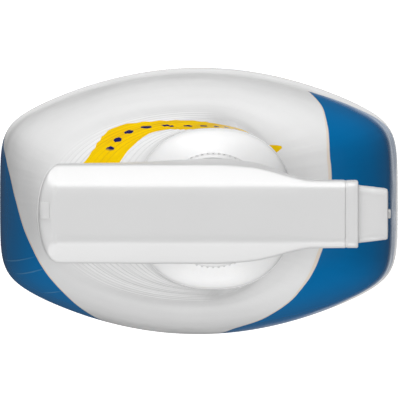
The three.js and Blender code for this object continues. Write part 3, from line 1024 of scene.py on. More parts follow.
@dataclass
class BottleShape:
    """The outside of the bottle, level by level: height, middle, back, front, half width, oval."""

    long: float = 57.6
    wide: float = 38.2
    high: float = 104.0
    foot: float = 152.0
    bow: float = 0.43
    sharpness: float = 16.0
    rib_pitch: float = 2.3
    rib_depth: float = 0.28

    def __post_init__(self) -> None:
        """Lays out the levels."""
        self.neck_x = centre_mm("closure", Axis.X)
        n, w, h = self.long, self.wide, self.high
        nx, step = self.neck_x, self.foot - self.high
        rows = [
            (0, 0, 5.8 - n, n - 5.8, w - 5.2, 0), (2.5, 0, 2.1 - n, n - 2.1, w - 1.9, 0),
            (8, 0, 0.3 - n, n - 0.3, w - 0.3, 0), (22, 0, -n, n, w, 0),
            (h - 34, 0, 0.2 - n, n - 0.2, w - 0.2, 0), (h, 0, 2 - n, n - 2.3, w - 1.1, 0),
            (h + 0.21 * step, 0, 3.1 - n, n - 3.5, w - 1.8, 0.05),
            (h + 0.42 * step, 0, 5.1 - n, n - 6.3, w - 3.2, 0.15),
            (h + 0.63 * step, 0.5, 7.6 - n, n - 11.2, w - 5.4, 0.35),
            (h + 0.84 * step, 1, 10.9 - n, n - 19, w - 8.4, 0.6),
            (152, 1.5, nx - 49.2, nx + 25, 27.2, 0.8), (160, 2, nx - 45, nx + 19, 25.2, 0.95),
            (168, 3, nx - 39.6, nx + 16.6, 23.6, 1), (176, 4, nx - 33.2, nx + 17, 22.5, 1),
            (184, nx - 0.5, nx - 26, nx + 20, 21.9, 1), (190, nx, nx - 21.6, nx + 21.4, 21.7, 1),
            (192, nx, nx - 21.2, nx + 21.1, 21.3, 1), (194, nx, nx - 19.8, nx + 19.8, 20, 1),
            (196, nx, nx - 17.7, nx + 17.7, 17.9, 1), (198, nx, nx - 15.2, nx + 15.2, 15.2, 1),
            (200, nx, nx - 12.6, nx + 12.6, 12.6, 1),
        ]
        self.at = smooth_table([row[0] for row in rows], np.array(rows)[:, 1:])

    def reach(self, angle: np.ndarray, oval: float, full: float) -> np.ndarray:
        """Gives how far out the edge is, as a multiple of the ellipse through the four ends.

        Args:
            angle: angles round the section.
            oval: from 0, the body's barrel shape, to 1, an oval.
            full: the oval's fullness, 2 for an ellipse.

        Returns:
            One number for each angle.
        """
        c, s = np.abs(np.cos(angle)), np.abs(np.sin(angle))
        end = 1 / np.maximum(c, 1e-6)
        bow = np.maximum(self.bow * c * c, 1e-9)
        side = (np.sqrt(s * s + 4 * bow) - s) / (2 * bow)
        barrel = (end**-self.sharpness + side**-self.sharpness) ** (-1 / self.sharpness)
        return barrel + ((c**full + s**full) ** (-1 / full) - barrel) * oval

    def ribs(self, angle: np.ndarray, z: float) -> np.ndarray:
        """Gives the depth of the finger ribs round the back of the grip.

        Args:
            angle: angles round the section.
            z: the height.

        Returns:
            One depth for each angle, in millimetres.
        """
        turn = np.degrees(angle) % 360
        back = ease((turn - 78) / 30) * ease((282 - turn) / 30)
        tall = float(ease((z - 157) / 3) * ease((189 - z) / 3))
        wave = 0.5 - 0.5 * math.cos(2 * math.pi * z / self.rib_pitch)
        return self.rib_depth * back * tall * wave

    def ring(self, angle: np.ndarray, z: float, out: float = 0.0, share: float = 1.0) -> np.ndarray:
        """Gives one level's edge.

        Args:
            angle: angles round the section.
            z: the height.
            out: how far outside the bottle's surface, in millimetres.
            share: a multiple of the section, for rings inside its edge.

        Returns:
            One point for each angle.
        """
        middle, back, front, side, oval = self.at(np.array([min(max(z, 0), 200)]))[0]
        out = out - (self.ribs(angle, z) if share == 1 else 0)
        full = float(np.interp(z, (160, 186, 194, 200), (2.2, 2.4, 2.3, 2.0)))
        far = self.reach(angle, min(oval, 1), full) * share
        end = np.where(np.cos(angle) > 0, front - middle, middle - back)
        x = middle + far * (end + out) * np.cos(angle)
        return np.column_stack([x, far * (side + out) * np.sin(angle), np.full(len(angle), z)])


@dataclass
class Bottle:
    """The blow-moulded bottle: body, grip, neck, thread and the pinch-off under its base."""

    shape: BottleShape
    wall: float = 1.1
    neck_radius: float = 12.6
    neck_top: float = 211.0
    bore: float = 10.6
    thread_pitch: float = 25.4 / 6
    sides: int = 180

    def thread(self) -> bpy.types.Object:
        """Makes the helical ridge round the neck.

        Returns:
            The ridge.
        """
        turns, steps = 1.25, 90
        rings = []
        for k in range(steps + 1):
            turn = turns * k / steps
            angle = 2 * math.pi * turn
            grow = min(1, (k + 0.6) / 9, (steps - k + 0.6) / 9)
            root, crest = self.neck_radius - 0.3, self.neck_radius - 0.3 + 1.3 * grow
            z = 203.8 + turn * self.thread_pitch
            corners = [(root, -0.95), (crest, -0.5), (crest, 0.5), (root, 0.95)]
            rings.append(
                np.array([
                    (self.shape.neck_x + r * math.cos(angle), r * math.sin(angle), z + up)
                    for r, up in corners
                ])
            )
        ends = [rings[0].mean(0)[None], *rings, rings[-1].mean(0)[None]]
        return face_outwards(make_object("thread", *skin(ends)))

    def build(self, finishes: Finishes) -> None:
        """Makes the bottle.

        Args:
            finishes: the materials.
        """
        angle = np.linspace(0, 2 * np.pi, self.sides, endpoint=False)
        ring, nx = self.shape.ring, self.shape.neck_x
        middle = np.array([[0.0, 0.0, 2.5]])
        rings = [middle]
        for share, z in ((0.3, 2.5), (0.6, 2.5), (0.66, 2.45), (0.7, 1.9), (0.77, 0.5), (0.8, 0.1),
                         (0.86, 0), (0.94, 0)):
            rings.append(ring(angle, 0, 0, share) + [0, 0, z])
        levels = [0, 0.3, 0.9, 1.6, 2.5, 4, 6, 8, 12, 16, 22, 34, 46, 58, *np.linspace(70, 148, 40)]
        levels += [*np.arange(148.6, 190, 0.46), *np.linspace(190.4, 199.6, 16)]
        rings += [ring(angle, z) for z in levels]
        r = self.neck_radius
        top = self.neck_top
        neck = [
            (r + 0.5, 199.9), (r + 0.12, 200.3), (r, 201), (r, 205), (r, top - 0.5),
            (r - 0.15, top - 0.1), (r - 0.5, top), (self.bore + 0.4, top),
            (self.bore, top - 0.4), (self.bore, 204), (self.bore, 199.6),
        ]
        rings += placed(neck, Axis.Z, (nx, 0, 0), self.sides)
        inner = [z for z in levels if z > 5][::-3]
        rings += [ring(angle, z, -self.wall) for z in inner if z < 199]
        rings += [ring(angle, 0, -self.wall, s) + [0, 0, 3.7] for s in (0.94, 0.6)]
        rings.append(middle + [0, 0, 1.2])
        shell = face_outwards(make_object("bottle_shell", *skin(rings)))
        scar = block("pinch_off", (-30, 30), (-0.5, 0.5), (1.9, 2.7), 0.25)
        whole = join("bottle_body", [shell, self.thread(), scar])
        finish_piece(whole, finishes.hdpe, "bottle", ["bottle"])


@dataclass
class Sleeve:
    """The printed film that is shrunk over the bottle from just above its base to the grip."""

    shape: BottleShape
    bottom: float = 6.0
    top: float = 190.0
    loose: float = 0.65
    tight: float = 0.07
    film: float = 0.07
    sides: int = 288
    height: float = 200.0

    def outside(self, z: float) -> float:
        """Gives how far the film stands off the bottle: it is drawn tight round the grip."""
        return self.loose + (self.tight - self.loose) * float(ease((z - 168) / 20))

    def build(self, finishes: Finishes) -> None:
        """Makes the sleeve with its wrap-round print map.

        Args:
            finishes: the materials.
        """
        angle = np.linspace(0, 2 * np.pi, self.sides, endpoint=False)
        levels = [*np.linspace(self.bottom, 20, 8), *np.linspace(24, 96, 12)]
        levels += [*np.linspace(99, 148, 30), *np.arange(148.5, self.top, 0.46), self.top]
        outer = [self.shape.ring(angle, z, self.outside(z)) for z in levels]
        inner = [self.shape.ring(angle, z, self.outside(z) - self.film) for z in levels[::-4]]
        heights = [*levels, *levels[::-4]]
        points, faces = closed_loop([*outer, *inner])
        made = make_object("label_film", points, faces)
        layer = made.data.uv_layers.new(name="wrap")
        rows, count, total = np.array(heights) / self.height, self.sides, len(heights)
        uv = np.zeros((len(faces), 4, 2))
        number = np.arange(len(faces))
        k, i = number // count, number % count
        after = (k + 1) % total
        for corner, (turn, row) in enumerate(((i, k), (i + 1, k), (i + 1, after), (i, after))):
            uv[:, corner, 0] = turn / count
            uv[:, corner, 1] = rows[row]
        layer.data.foreach_set("uv", uv.reshape(-1).astype(np.float32))
        sharpen(made, 50)
        finish_piece(made, finishes.film, "bottle", ["label_sleeve"])


# ---- The sprayer ------------------------------------------------------------------------------


@dataclass
class Closure:
    """The screw closure: a skirt with fine grip ribs and a lip."""

    outer: float = 15.4
    inner: float = 14.2
    mouth: float = 9.3
    rib: float = 0.36
    ribs: int = 64

    def grip(self, x: float, low: float, high: float, finishes: Finishes) -> bpy.types.Object:
        """Makes the ring of upright ribs with Geometry Nodes.

        Args:
            x: the neck's axis.
            low: where the ribs start, in millimetres.
            high: where they end.
            finishes: the materials.

        Returns:
            The ribs as one mesh.
        """
        tree = NodeTree(
            "grip ribs",
            {
                "Count": ("NodeSocketInt", self.ribs),
                "Circle": ("NodeSocketFloat", (self.outer - self.rib) * MM),
                "Rib": ("NodeSocketFloat", self.rib * MM),
                "Length": ("NodeSocketFloat", (high - low) * MM),
            },
        )
        round_it = tree.add(
            "GeometryNodeMeshCircle",
            {"Vertices": tree.size("Count"), "Radius": tree.size("Circle")},
        )
        rib = tree.add(
            "GeometryNodeMeshCylinder",
            {"Vertices": 8, "Radius": tree.size("Rib"), "Depth": tree.size("Length")},
        )
        spread = tree.add("GeometryNodeInstanceOnPoints", {"Points": round_it, "Instance": rib})
        middle = (x * MM, 0.0, (low + high) / 2 * MM)
        moved = tree.add("GeometryNodeTransform", {"Geometry": spread, "Translation": middle})
        host = make_object("grip_ribs", np.zeros((1, 3)), [])
        return tree.apply(moved.outputs[0], finishes.white_pp, host)

    def build(self, finishes: Finishes) -> None:
        """Makes the closure.

        Args:
            finishes: the materials.
        """
        x, (bottom, top) = centre_mm("closure", Axis.X), span_mm("closure", Axis.Z)
        skirt = self.outer - self.rib
        profile = [
            (skirt + 0.3, bottom), (skirt + 0.3, bottom + 0.9), (skirt, bottom + 1.1),
            (skirt, top - 0.9), (skirt - 0.9, top), (self.mouth, top), (self.mouth, top - 1.3),
            (self.inner, top - 1.3), (self.inner, bottom),
        ]
        wall = turned("skirt", profile, Axis.Z, (x, 0, 0), 144, 0.2, hollow=True)
        grip = self.grip(x, bottom + 1, top - 1.2, finishes)
        made = join("screw_closure", [wall, grip])
        finish_piece(made, finishes.white_pp, "closure", ["closure"])


@dataclass
class Shroud:
    """The white cover over the sprayer: flat along its top, with a bevel down each side.

    Stations give X from the neck, half width at the bevel, half width at the lower edge, and
    the lower edge's height as a share of the whole. The catch is two pads: where each starts
    and stops from the rim, how proud it is, and its two sides in Y.
    """

    wall: float = 1.3
    catch: Sequence[tuple[tuple[float, float, float], Ends]] = (
        ((1.4, 3.8, 0.28), (-1.0, 3.15)), ((0.7, 1.35, 0.55), (-0.35, 1.7)),
    )
    flat: float = 6.9
    bevel: float = 1.05
    rear_round: float = 5.2
    soften: float = 2.0
    stations: Sequence[tuple[float, float, float, float]] = (
        (-44.9, 12.65, 12.8, 0.743), (-43.7, 12.7, 12.85, 0.703), (-41.5, 12.75, 12.9, 0.663),
        (-37.5, 12.8, 12.95, 0.612), (-25, 12.85, 13.05, 0.482), (-17.5, 12.9, 13.2, 0.301),
        (-13.5, 12.9, 13.4, 0.129), (1, 12.9, 13.9, 0.108), (10, 12.3, 13.1, 0.129),
        (15.5, 11.2, 11.7, 0.321), (20.5, 9.8, 10, 0.542), (26, 8.8, 8.8, 0.635),
        (34.5, 8.7, 8.7, 0.649),
    )

    def half(self, low: float, high: float, neck_x: float) -> Rings:
        """Makes the columns of one half, from the front back along the side to the rear middle.

        Args:
            low: the sprayer's flange, in millimetres.
            high: the shroud's top.
            neck_x: the neck's axis.

        Returns:
            One column of points for each place along the outline, from the foot to the ridge.
        """
        table = smooth_table([s[0] for s in self.stations], np.array(self.stations)[:, 1:])
        start = self.stations[0][0] + self.rear_round
        along = [*np.linspace(34.5, start, 120)]
        columns = []
        for x in along:
            columns.append(self.column(table, x, 0.0, low, high, start))
        for turn in np.linspace(0, np.pi / 2, 22)[1:]:
            x = start - self.rear_round * math.sin(turn)
            columns.append(self.column(table, x, turn, low, high, start))
        return [c + [neck_x, 0, 0] for c in columns]

    def column(
        self,
        table: Callable[[np.ndarray], np.ndarray],
        x: float,
        turn: float,
        low: float,
        high: float,
        start: float,
    ) -> np.ndarray:
        """Makes one column of the cover, from its lower edge up and over to the ridge.

        Args:
            table: the half widths and the lower edge's share at each X.
            x: the place along the cover, from the neck.
            turn: how far round the rear end it is, in radians.
            low: the height of the sprayer's flange.
            high: the height of the top.
            start: where the rear end begins to curve.

        Returns:
            Its points.
        """
        upper, lower, share = table(np.array([x]))[0]
        foot = low + share * (high - low)
        c, s = math.cos(turn), math.sin(turn)
        flat_y = min(self.flat, upper - 1.6) * c**0.55
        fade = float(ease(s))
        edge_z = high - (upper - min(self.flat, upper - 1.6)) * self.bevel * (1 - 0.78 * fade)
        base, corner, flat = (
            np.array([start - (self.rear_round - inset) * s if turn else x, y, z])
            for inset, y, z in (
                (0, lower * c, foot), (0.15, upper * c, edge_z), (3.6, flat_y, high)
            )
        )
        ridge = np.array([flat[0], 0.0, high])
        outwards = np.array([-s, c, 0]) * s
        rail = [
            base + (corner - base) * t + outwards * bead
            for t, bead in (
                (0, 0.5), (0.02, 0.7), (0.05, 0.75), (0.065, 0.65), (0.075, 0.4), (0.08, 0),
                (0.5, 0),
            )
        ]
        for before, here, after, size in (
            (base, corner, flat, self.soften - 1.1 * (1 - fade)),
            (corner, flat, ridge, self.soften + 3.0 * fade),
        ):
            lead, trail = before - here, after - here
            reach = min(size, 0.4 * np.linalg.norm(lead), 0.4 * max(np.linalg.norm(trail), 1e-6))
            a = here + lead / np.linalg.norm(lead) * reach
            b = here + trail / max(np.linalg.norm(trail), 1e-6) * reach
            rail += [
                (1 - t) ** 2 * a + 2 * t * (1 - t) * here + t * t * b for t in np.linspace(0, 1, 6)
            ]
        rail += [flat + (ridge - flat) * t for t in (0.4, 0.7, 1)]
        return np.array(rail)

    def pad(
        self, spine: np.ndarray, reach: tuple[float, float, float], wide: Ends
    ) -> bpy.types.Object:
        """Makes a low raised patch that follows the cover's rear slope.

        Args:
            spine: the rear middle column, from the foot to the ridge.
            reach: how far in from the rim it starts and stops, and how proud it is.
            wide: its two sides in Y.

        Returns:
            The patch.
        """
        rear, top = spine[:, 0].min(), spine[:, 2].max()
        slope = spine[spine[:, 2] > top - 5]
        slope = slope[np.argsort(slope[:, 0])]
        start, stop, proud = reach
        at = np.linspace(rear + start, rear + stop, 9)
        skin_line = list(zip(at, np.interp(at, slope[:, 0], slope[:, 2]) + proud))
        under = [(x, z - proud - 0.5) for x, z in reversed(skin_line)]
        return slab("pad", skin_line + under, *wide, 0.1)

    def build(self, finishes: Finishes) -> None:
        """Makes the cover, its ribs and its rear catch.

        Args:
            finishes: the materials.
        """
        low, high = span_mm("neck_gasket", Axis.Z)[1], span_mm("shroud", Axis.Z)[1]
        neck_x = centre_mm("closure", Axis.X)
        near = self.half(low, high, neck_x)
        rows, count = len(near[0]), len(near)
        far = [c * [1, -1, 1] for c in near]
        points = np.vstack(near + far)
        faces = []
        for k in range(count - 1):
            for i in range(rows - 1):
                a, b = k * rows + i, (k + 1) * rows + i
                faces.append((a, b, b + 1, a + 1))
                c, d = a + count * rows, b + count * rows
                faces.append((c, c + 1, d + 1, d))
        sheet = make_object("cover", points, faces)
        work = bmesh.new()
        work.from_mesh(sheet.data)
        bmesh.ops.remove_doubles(work, verts=work.verts, dist=2e-6)
        bmesh.ops.dissolve_degenerate(work, edges=work.edges, dist=1e-6)
        bmesh.ops.recalc_face_normals(work, faces=work.faces)
        heights = [f.calc_center_median().z for f in work.faces]
        if list(work.faces)[heights.index(max(heights))].normal.z < 0:
            bmesh.ops.reverse_faces(work, faces=work.faces)
        work.to_mesh(sheet.data)
        work.free()
        solid = sheet.modifiers.new("wall", "SOLIDIFY")
        solid.thickness = self.wall * MM
        solid.offset = -1
        solid.use_even_offset = True
        solid.thickness_clamp = 0.6
        settle(sheet)
        sharpen(sheet, 50)
        parts = [sheet]
        barrel_top = centre_mm("nozzle_cap", Axis.Z) + 3.3
        for x in (9, 17, -22):
            parts.append(block(
                "rib", (neck_x + x, neck_x + x + 1.2), (-5.4, 5.4), (barrel_top, high - 0.6), 0.2
            ))
        parts += [self.pad(near[-1], reach, wide) for reach, wide in self.catch]
        made = join("shroud_cover", parts)
        finish_piece(made, finishes.white_pp, "sprayer", ["shroud"])


@dataclass
class Housing:
    """The sprayer's body of natural plastic, with what is fixed in it."""

    flange: float = 12.9
    stem: float = 8.8
    cylinder: float = 9.2
    bore: float = 7.5
    riser: float = 4.6
    barrel: float = 3.0

    def build(self, finishes: Finishes) -> None:
        """Makes the housing, gasket, retainer, dip tube and outlet plug.

        Args:
            finishes: the materials.
        """
        x, top = centre_mm("closure", Axis.X), span_mm("closure", Axis.Z)[1]
        under, low = span_mm("neck_gasket", Axis.Z)
        pump_z, barrel_z = centre_mm("piston", Axis.Z), centre_mm("nozzle_cap", Axis.Z)
        hx, hz = hinge_mm("trigger_squeeze")
        front = hx - 6.4
        axis = (x, 0, 0)
        parts = [
            turned("flange", [(0, low), (self.flange, low), (self.flange, low + 1.2),
                              (self.stem, low + 1.2), (self.stem, top + 3), (0, top + 3)],
                   Axis.Z, axis, 96),
            block("saddle", (x - 9, x + 2.4), (-8, 8), (top + 1.6, pump_z + 8.2), 0.6),
            turned("cylinder", [(0, x - 4), (self.cylinder, x - 4), (self.cylinder, front),
                                (self.bore, front), (self.bore, x + 2.6), (0, x + 2.6)],
                   Axis.X, (0, 0, pump_z), 96, 0.3),
            turned("riser", [(0, pump_z + 6), (self.riser, pump_z + 6),
                             (self.riser, barrel_z + 4.8), (0, barrel_z + 4.8)],
                   Axis.Z, axis, 64, 0.3),
            turned("barrel", [(0, x), (self.barrel, x), (self.barrel, x + 41.9),
                              (1.3, x + 41.9), (1.3, x + 30), (0, x + 30)],
                   Axis.X, (0, 0, barrel_z), 64, 0.2),
            slab("web", [(x, pump_z + 8.6), (front - 1, pump_z + 8.6), (front - 1, barrel_z),
                         (x, barrel_z)], -1.2, 1.2, 0.3),
            block("vent_boss", (x + 6, x + 19), (-2, 2), (top + 0.5, pump_z - 7.8), 0.4),
        ]
        cheek = [(hx - 4.5, hz + 8.5), (hx - 4.5, hz - 1.5), (hx - 2.2, hz - 4), (hx + 2.2, hz - 4),
                 (hx + 4.5, hz - 1.5), (hx + 4.5, hz + 8.5)]
        for side in (-1, 1):
            ends = sorted((side * 5.3, side * 6.8))
            parts.append(slab("cheek", cheek, *ends, 0.3))
        parts.append(block("bridge", (hx - 4.4, hx + 4.4), (-6.7, 6.7), (hz + 6.9, hz + 8.45), 0.3))
        finish_piece(
            join("sprayer_housing", parts), finishes.natural_pp, "sprayer", ["sprayer_body"],
        )
        ring = [(10.8, under), (13.2, under), (13.2, low), (10.8, low)]
        gasket = turned("neck_seal", ring, Axis.Z, axis, 96, 0.3, hollow=True)
        finish_piece(gasket, finishes.seal, "sprayer", ["neck_gasket"])
        self.retainer(finishes, x)
        self.tube(finishes)
        self.plug(finishes, x)

    def retainer(self, finishes: Finishes, x: float) -> None:
        """Makes the sleeve that holds the dip tube and seats the intake ball.

        Args:
            finishes: the materials.
            x: the neck's axis.
        """
        bottom, top = span_mm("tube_retainer", Axis.Z)
        profile = [(4.1, bottom), (4.1, bottom + 4.6), (6.5, bottom + 4.6), (6.5, bottom + 6),
                   (4.1, bottom + 6), (4.1, top), (2.35, top), (2.35, bottom + 10.7),
                   (1.4, bottom + 10.6), (1.4, bottom + 9.2), (2.6, bottom + 9.1), (2.6, bottom)]
        made = turned("tube_holder", profile, Axis.Z, (x, 0, 0), 64, 0.12, hollow=True)
        finish_piece(made, finishes.natural_pp, "sprayer", ["tube_retainer"])

    def plug(self, finishes: Finishes, x: float) -> None:
        """Makes the plug that closes the riser over the outlet ball.

        Args:
            finishes: the materials.
            x: the neck's axis.
        """
        bottom, top = span_mm("outlet_plug", Axis.Z)
        profile = [(0, bottom), (1, bottom), (1, top - 1.9), (2.45, top - 2.4),
                   (2.45, top - 1.2), (3.6, top - 1.2), (3.6, top), (0, top)]
        made = turned("riser_plug", profile, Axis.Z, (x, 0, 0), 48, 0.12)
        finish_piece(made, finishes.natural_pp, "sprayer", ["outlet_plug"])

    def tube(self, finishes: Finishes) -> None:
        """Makes the dip tube down to the front corner of the base.

        Args:
            finishes: the materials.
        """
        nx, top, foot = centre_mm("closure", Axis.X), span_mm("dip_tube", Axis.Z)[1], 7.0
        end = span_mm("dip_tube", Axis.X)[1] - 2.5
        route = smooth_table(
            [foot, foot + 60, 151, 199, top],
            np.array([[end], [end - 17], [nx + 1.5], [nx], [nx]]),
        )
        z = np.linspace(foot, top, 60)
        x = route(z)[:, 0]
        lean = np.gradient(x, z)
        angle = np.linspace(0, 2 * np.pi, 32, endpoint=False)
        rings = []
        for radius, order in ((2.5, range(60)), (1.7, range(59, -1, -1))):
            for k in order:
                tilt = 1 / math.hypot(1, lean[k])
                across = radius * np.cos(angle)
                rings.append(np.column_stack([
                    x[k] + across * tilt, radius * np.sin(angle), z[k] - across * lean[k] * tilt
                ]))
        made = sharpen(face_outwards(make_object("dip_tube_line", *closed_loop(rings))))
        finish_piece(made, finishes.tube, "sprayer", ["dip_tube"])


@dataclass
class Trigger:
    """The trigger: a curved channel that hangs from its hinge, with a pad against the piston."""

    half_width: float = 6.9
    skin: float = 1.6
    front: Profile = (
        (1.6, 1.8), (4.6, -4), (5.6, -14), (7.6, -25), (8.2, -35), (7.8, -41.5), (9, -46.5),
    )
    rear: Profile = (
        (6.4, -47.3), (3.6, -43), (3.2, -34), (2.2, -25), (0.2, -14), (-1.9, -4), (-1.6, 1.8),
    )

    def side(self, inset: float, top: float, foot: float) -> list[tuple[float, float]]:
        """Gives the side view of the channel.

        Args:
            inset: how far inside the front skin it is, in millimetres.
            top: the highest point, from the hinge.
            foot: the lowest point.

        Returns:
            X and Z from the hinge.
        """
        ahead = smooth_table([-z for _, z in self.front], np.array([[x] for x, _ in self.front]))
        behind = sorted((-z, x) for x, z in self.rear)
        after = smooth_table([z for z, _ in behind], np.array([[x] for _, x in behind]))
        z = np.linspace(top, foot, 40)
        run = [(float(x) - inset, float(h)) for x, h in zip(ahead(-z)[:, 0], z)]
        back = z[::-1]
        shift = -6.0 if inset else 0.0
        return run + [(float(x) + shift, float(h)) for x, h in zip(after(-back)[:, 0], back)]

    def build(self, finishes: Finishes) -> None:
        """Makes the trigger.

        Args:
            finishes: the materials.
        """
        hx, hz = hinge_mm("trigger_squeeze")
        pump_z = centre_mm("piston", Axis.Z)
        blade, hollow, neck = (
            slab(name, [(hx + x, hz + z) for x, z in self.side(*view)], -half, half, edge)
            for name, view, half, edge in (
                ("blade", (0, -5.4, -46.5), self.half_width, 0),
                ("hollow", (1.8, -7.5, -44), self.half_width - self.skin, 0),
                ("neck", (0, 1.8, -6.5), 5, 0.3),
            )
        )
        carve = blade.modifiers.new("channel", "BOOLEAN")
        carve.operation = "DIFFERENCE"
        carve.solver = "EXACT"
        carve.object = hollow
        settle(blade)
        bpy.data.objects.remove(hollow)
        bevelled(blade, 0.45, 3)
        hub, pins = (
            turned(name, [(0, -end), (r, -end), (r, end), (0, end)], Axis.Y, (hx, 0, hz), 48, 0.3)
            for name, r, end in (("hub", 2.4, 5), ("pins", 1.9, 6.65))
        )
        pad = block("pad", (hx - 1.6, hx + 5.4), (-3.4, 3.4), (pump_z - 1.6, pump_z + 1.6), 0.5)
        made = join("trigger_lever", [blade, neck, hub, pins, pad])
        finish_piece(made, finishes.white_pp, "trigger", ["trigger"])


@dataclass
class Pump:
    """The piston with its two seals, the coil spring behind it and the two valve balls."""

    stem: float = 3.2
    bore: float = 7.35
    coil: float = 4.4
    wire: float = 0.4
    turns: float = 5.0
    stroke: float = 6.2

    def build(self, finishes: Finishes) -> None:
        """Makes the pump's pieces.

        Args:
            finishes: the materials.
        """
        nose, end = span_mm("piston", Axis.X)
        axis = (0, 0, centre_mm("piston", Axis.Z))
        profile = [
            (0, nose), (5.2, nose), (5.2, nose + 0.6), (self.stem + 0.1, nose + 0.6),
            (self.stem + 0.1, nose + 3), (6.6, nose + 3), (6.6, nose + 4.2),
            (self.stem, nose + 4.2), (self.stem, end - 1.6), (self.stem - 1.2, end - 0.4),
            (0, end),
        ]
        piston = turned("piston_rod", profile, Axis.X, axis, 64, 0.2)
        finish_piece(piston, finishes.natural_pp, "piston", ["piston"])
        for name, node in (("piston_lip", "piston_seal"), ("vent_lip", "vent_seal")):
            (start, stop), inner = span_mm(node, Axis.X), self.stem + 0.2
            cup = [(inner, start), (self.bore - 0.9, start + 0.1), (self.bore, start),
                   (self.bore, start + 0.35), (self.bore - 0.5, stop - 0.2), (inner, stop)]
            seal = turned(name, cup, Axis.X, axis, 64, 0.12, hollow=True)
            finish_piece(seal, finishes.seal, "piston", [node])
        self.spring(finishes, axis[2])
        for node, body in (("intake_ball", "intake_ball"), ("outlet_ball", "outlet_ball")):
            a, b = corners_mm(node)
            middle, radius = (a + b) / 2, float(b[2] - a[2]) / 2
            arc = [(radius * math.sin(t), float(middle[2]) - radius * math.cos(t))
                   for t in np.linspace(0, math.pi, 25)]
            arc[0], arc[-1] = (0, arc[0][1]), (0, arc[-1][1])
            ball = turned(node + "_bearing", arc, Axis.Z, (float(middle[0]), 0, 0), 40, 0.0)
            finish_piece(ball, finishes.steel, body, [node])

    def spring(self, finishes: Finishes, z: float) -> None:
        """Makes the return spring with Geometry Nodes.

        Args:
            finishes: the materials.
            z: the pump's axis.
        """
        near, far = span_mm("return_spring", Axis.X)
        start, stop = near + self.wire, far - self.wire
        tree = NodeTree(
            "return spring",
            {
                "Turns": ("NodeSocketFloat", self.turns),
                "Coil": ("NodeSocketFloat", self.coil * MM),
                "Wire": ("NodeSocketFloat", self.wire * MM),
                "Length": ("NodeSocketFloat", (stop - start) * MM),
            },
        )
        spiral = tree.add(
            "GeometryNodeCurveSpiral",
            {"Resolution": 32, "Rotations": tree.size("Turns"), "Start Radius": tree.size("Coil"),
             "End Radius": tree.size("Coil"), "Height": tree.size("Length")},
        )
        section = tree.add(
            "GeometryNodeCurvePrimitiveCircle", {"Resolution": 10, "Radius": tree.size("Wire")}
        )
        wire = tree.add(
            "GeometryNodeCurveToMesh",
            {"Curve": spiral, "Profile Curve": section, "Fill Caps": True},
        )
        turned_round = tree.add(
            "GeometryNodeTransform",
            {"Geometry": wire, "Rotation": (0.0, math.pi / 2, 0.0),
             "Translation": (start * MM, 0.0, z * MM)},
        )
        host = make_object("coil_spring", np.zeros((1, 3)), [])
        made = tree.apply(turned_round.outputs[0], finishes.steel, host)
        made = face_outwards(made)
        finish_piece(made, finishes.steel, "sprayer", ["return_spring"])
        closed = span_mm("piston", Axis.X)[0] - self.stroke
        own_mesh(made)


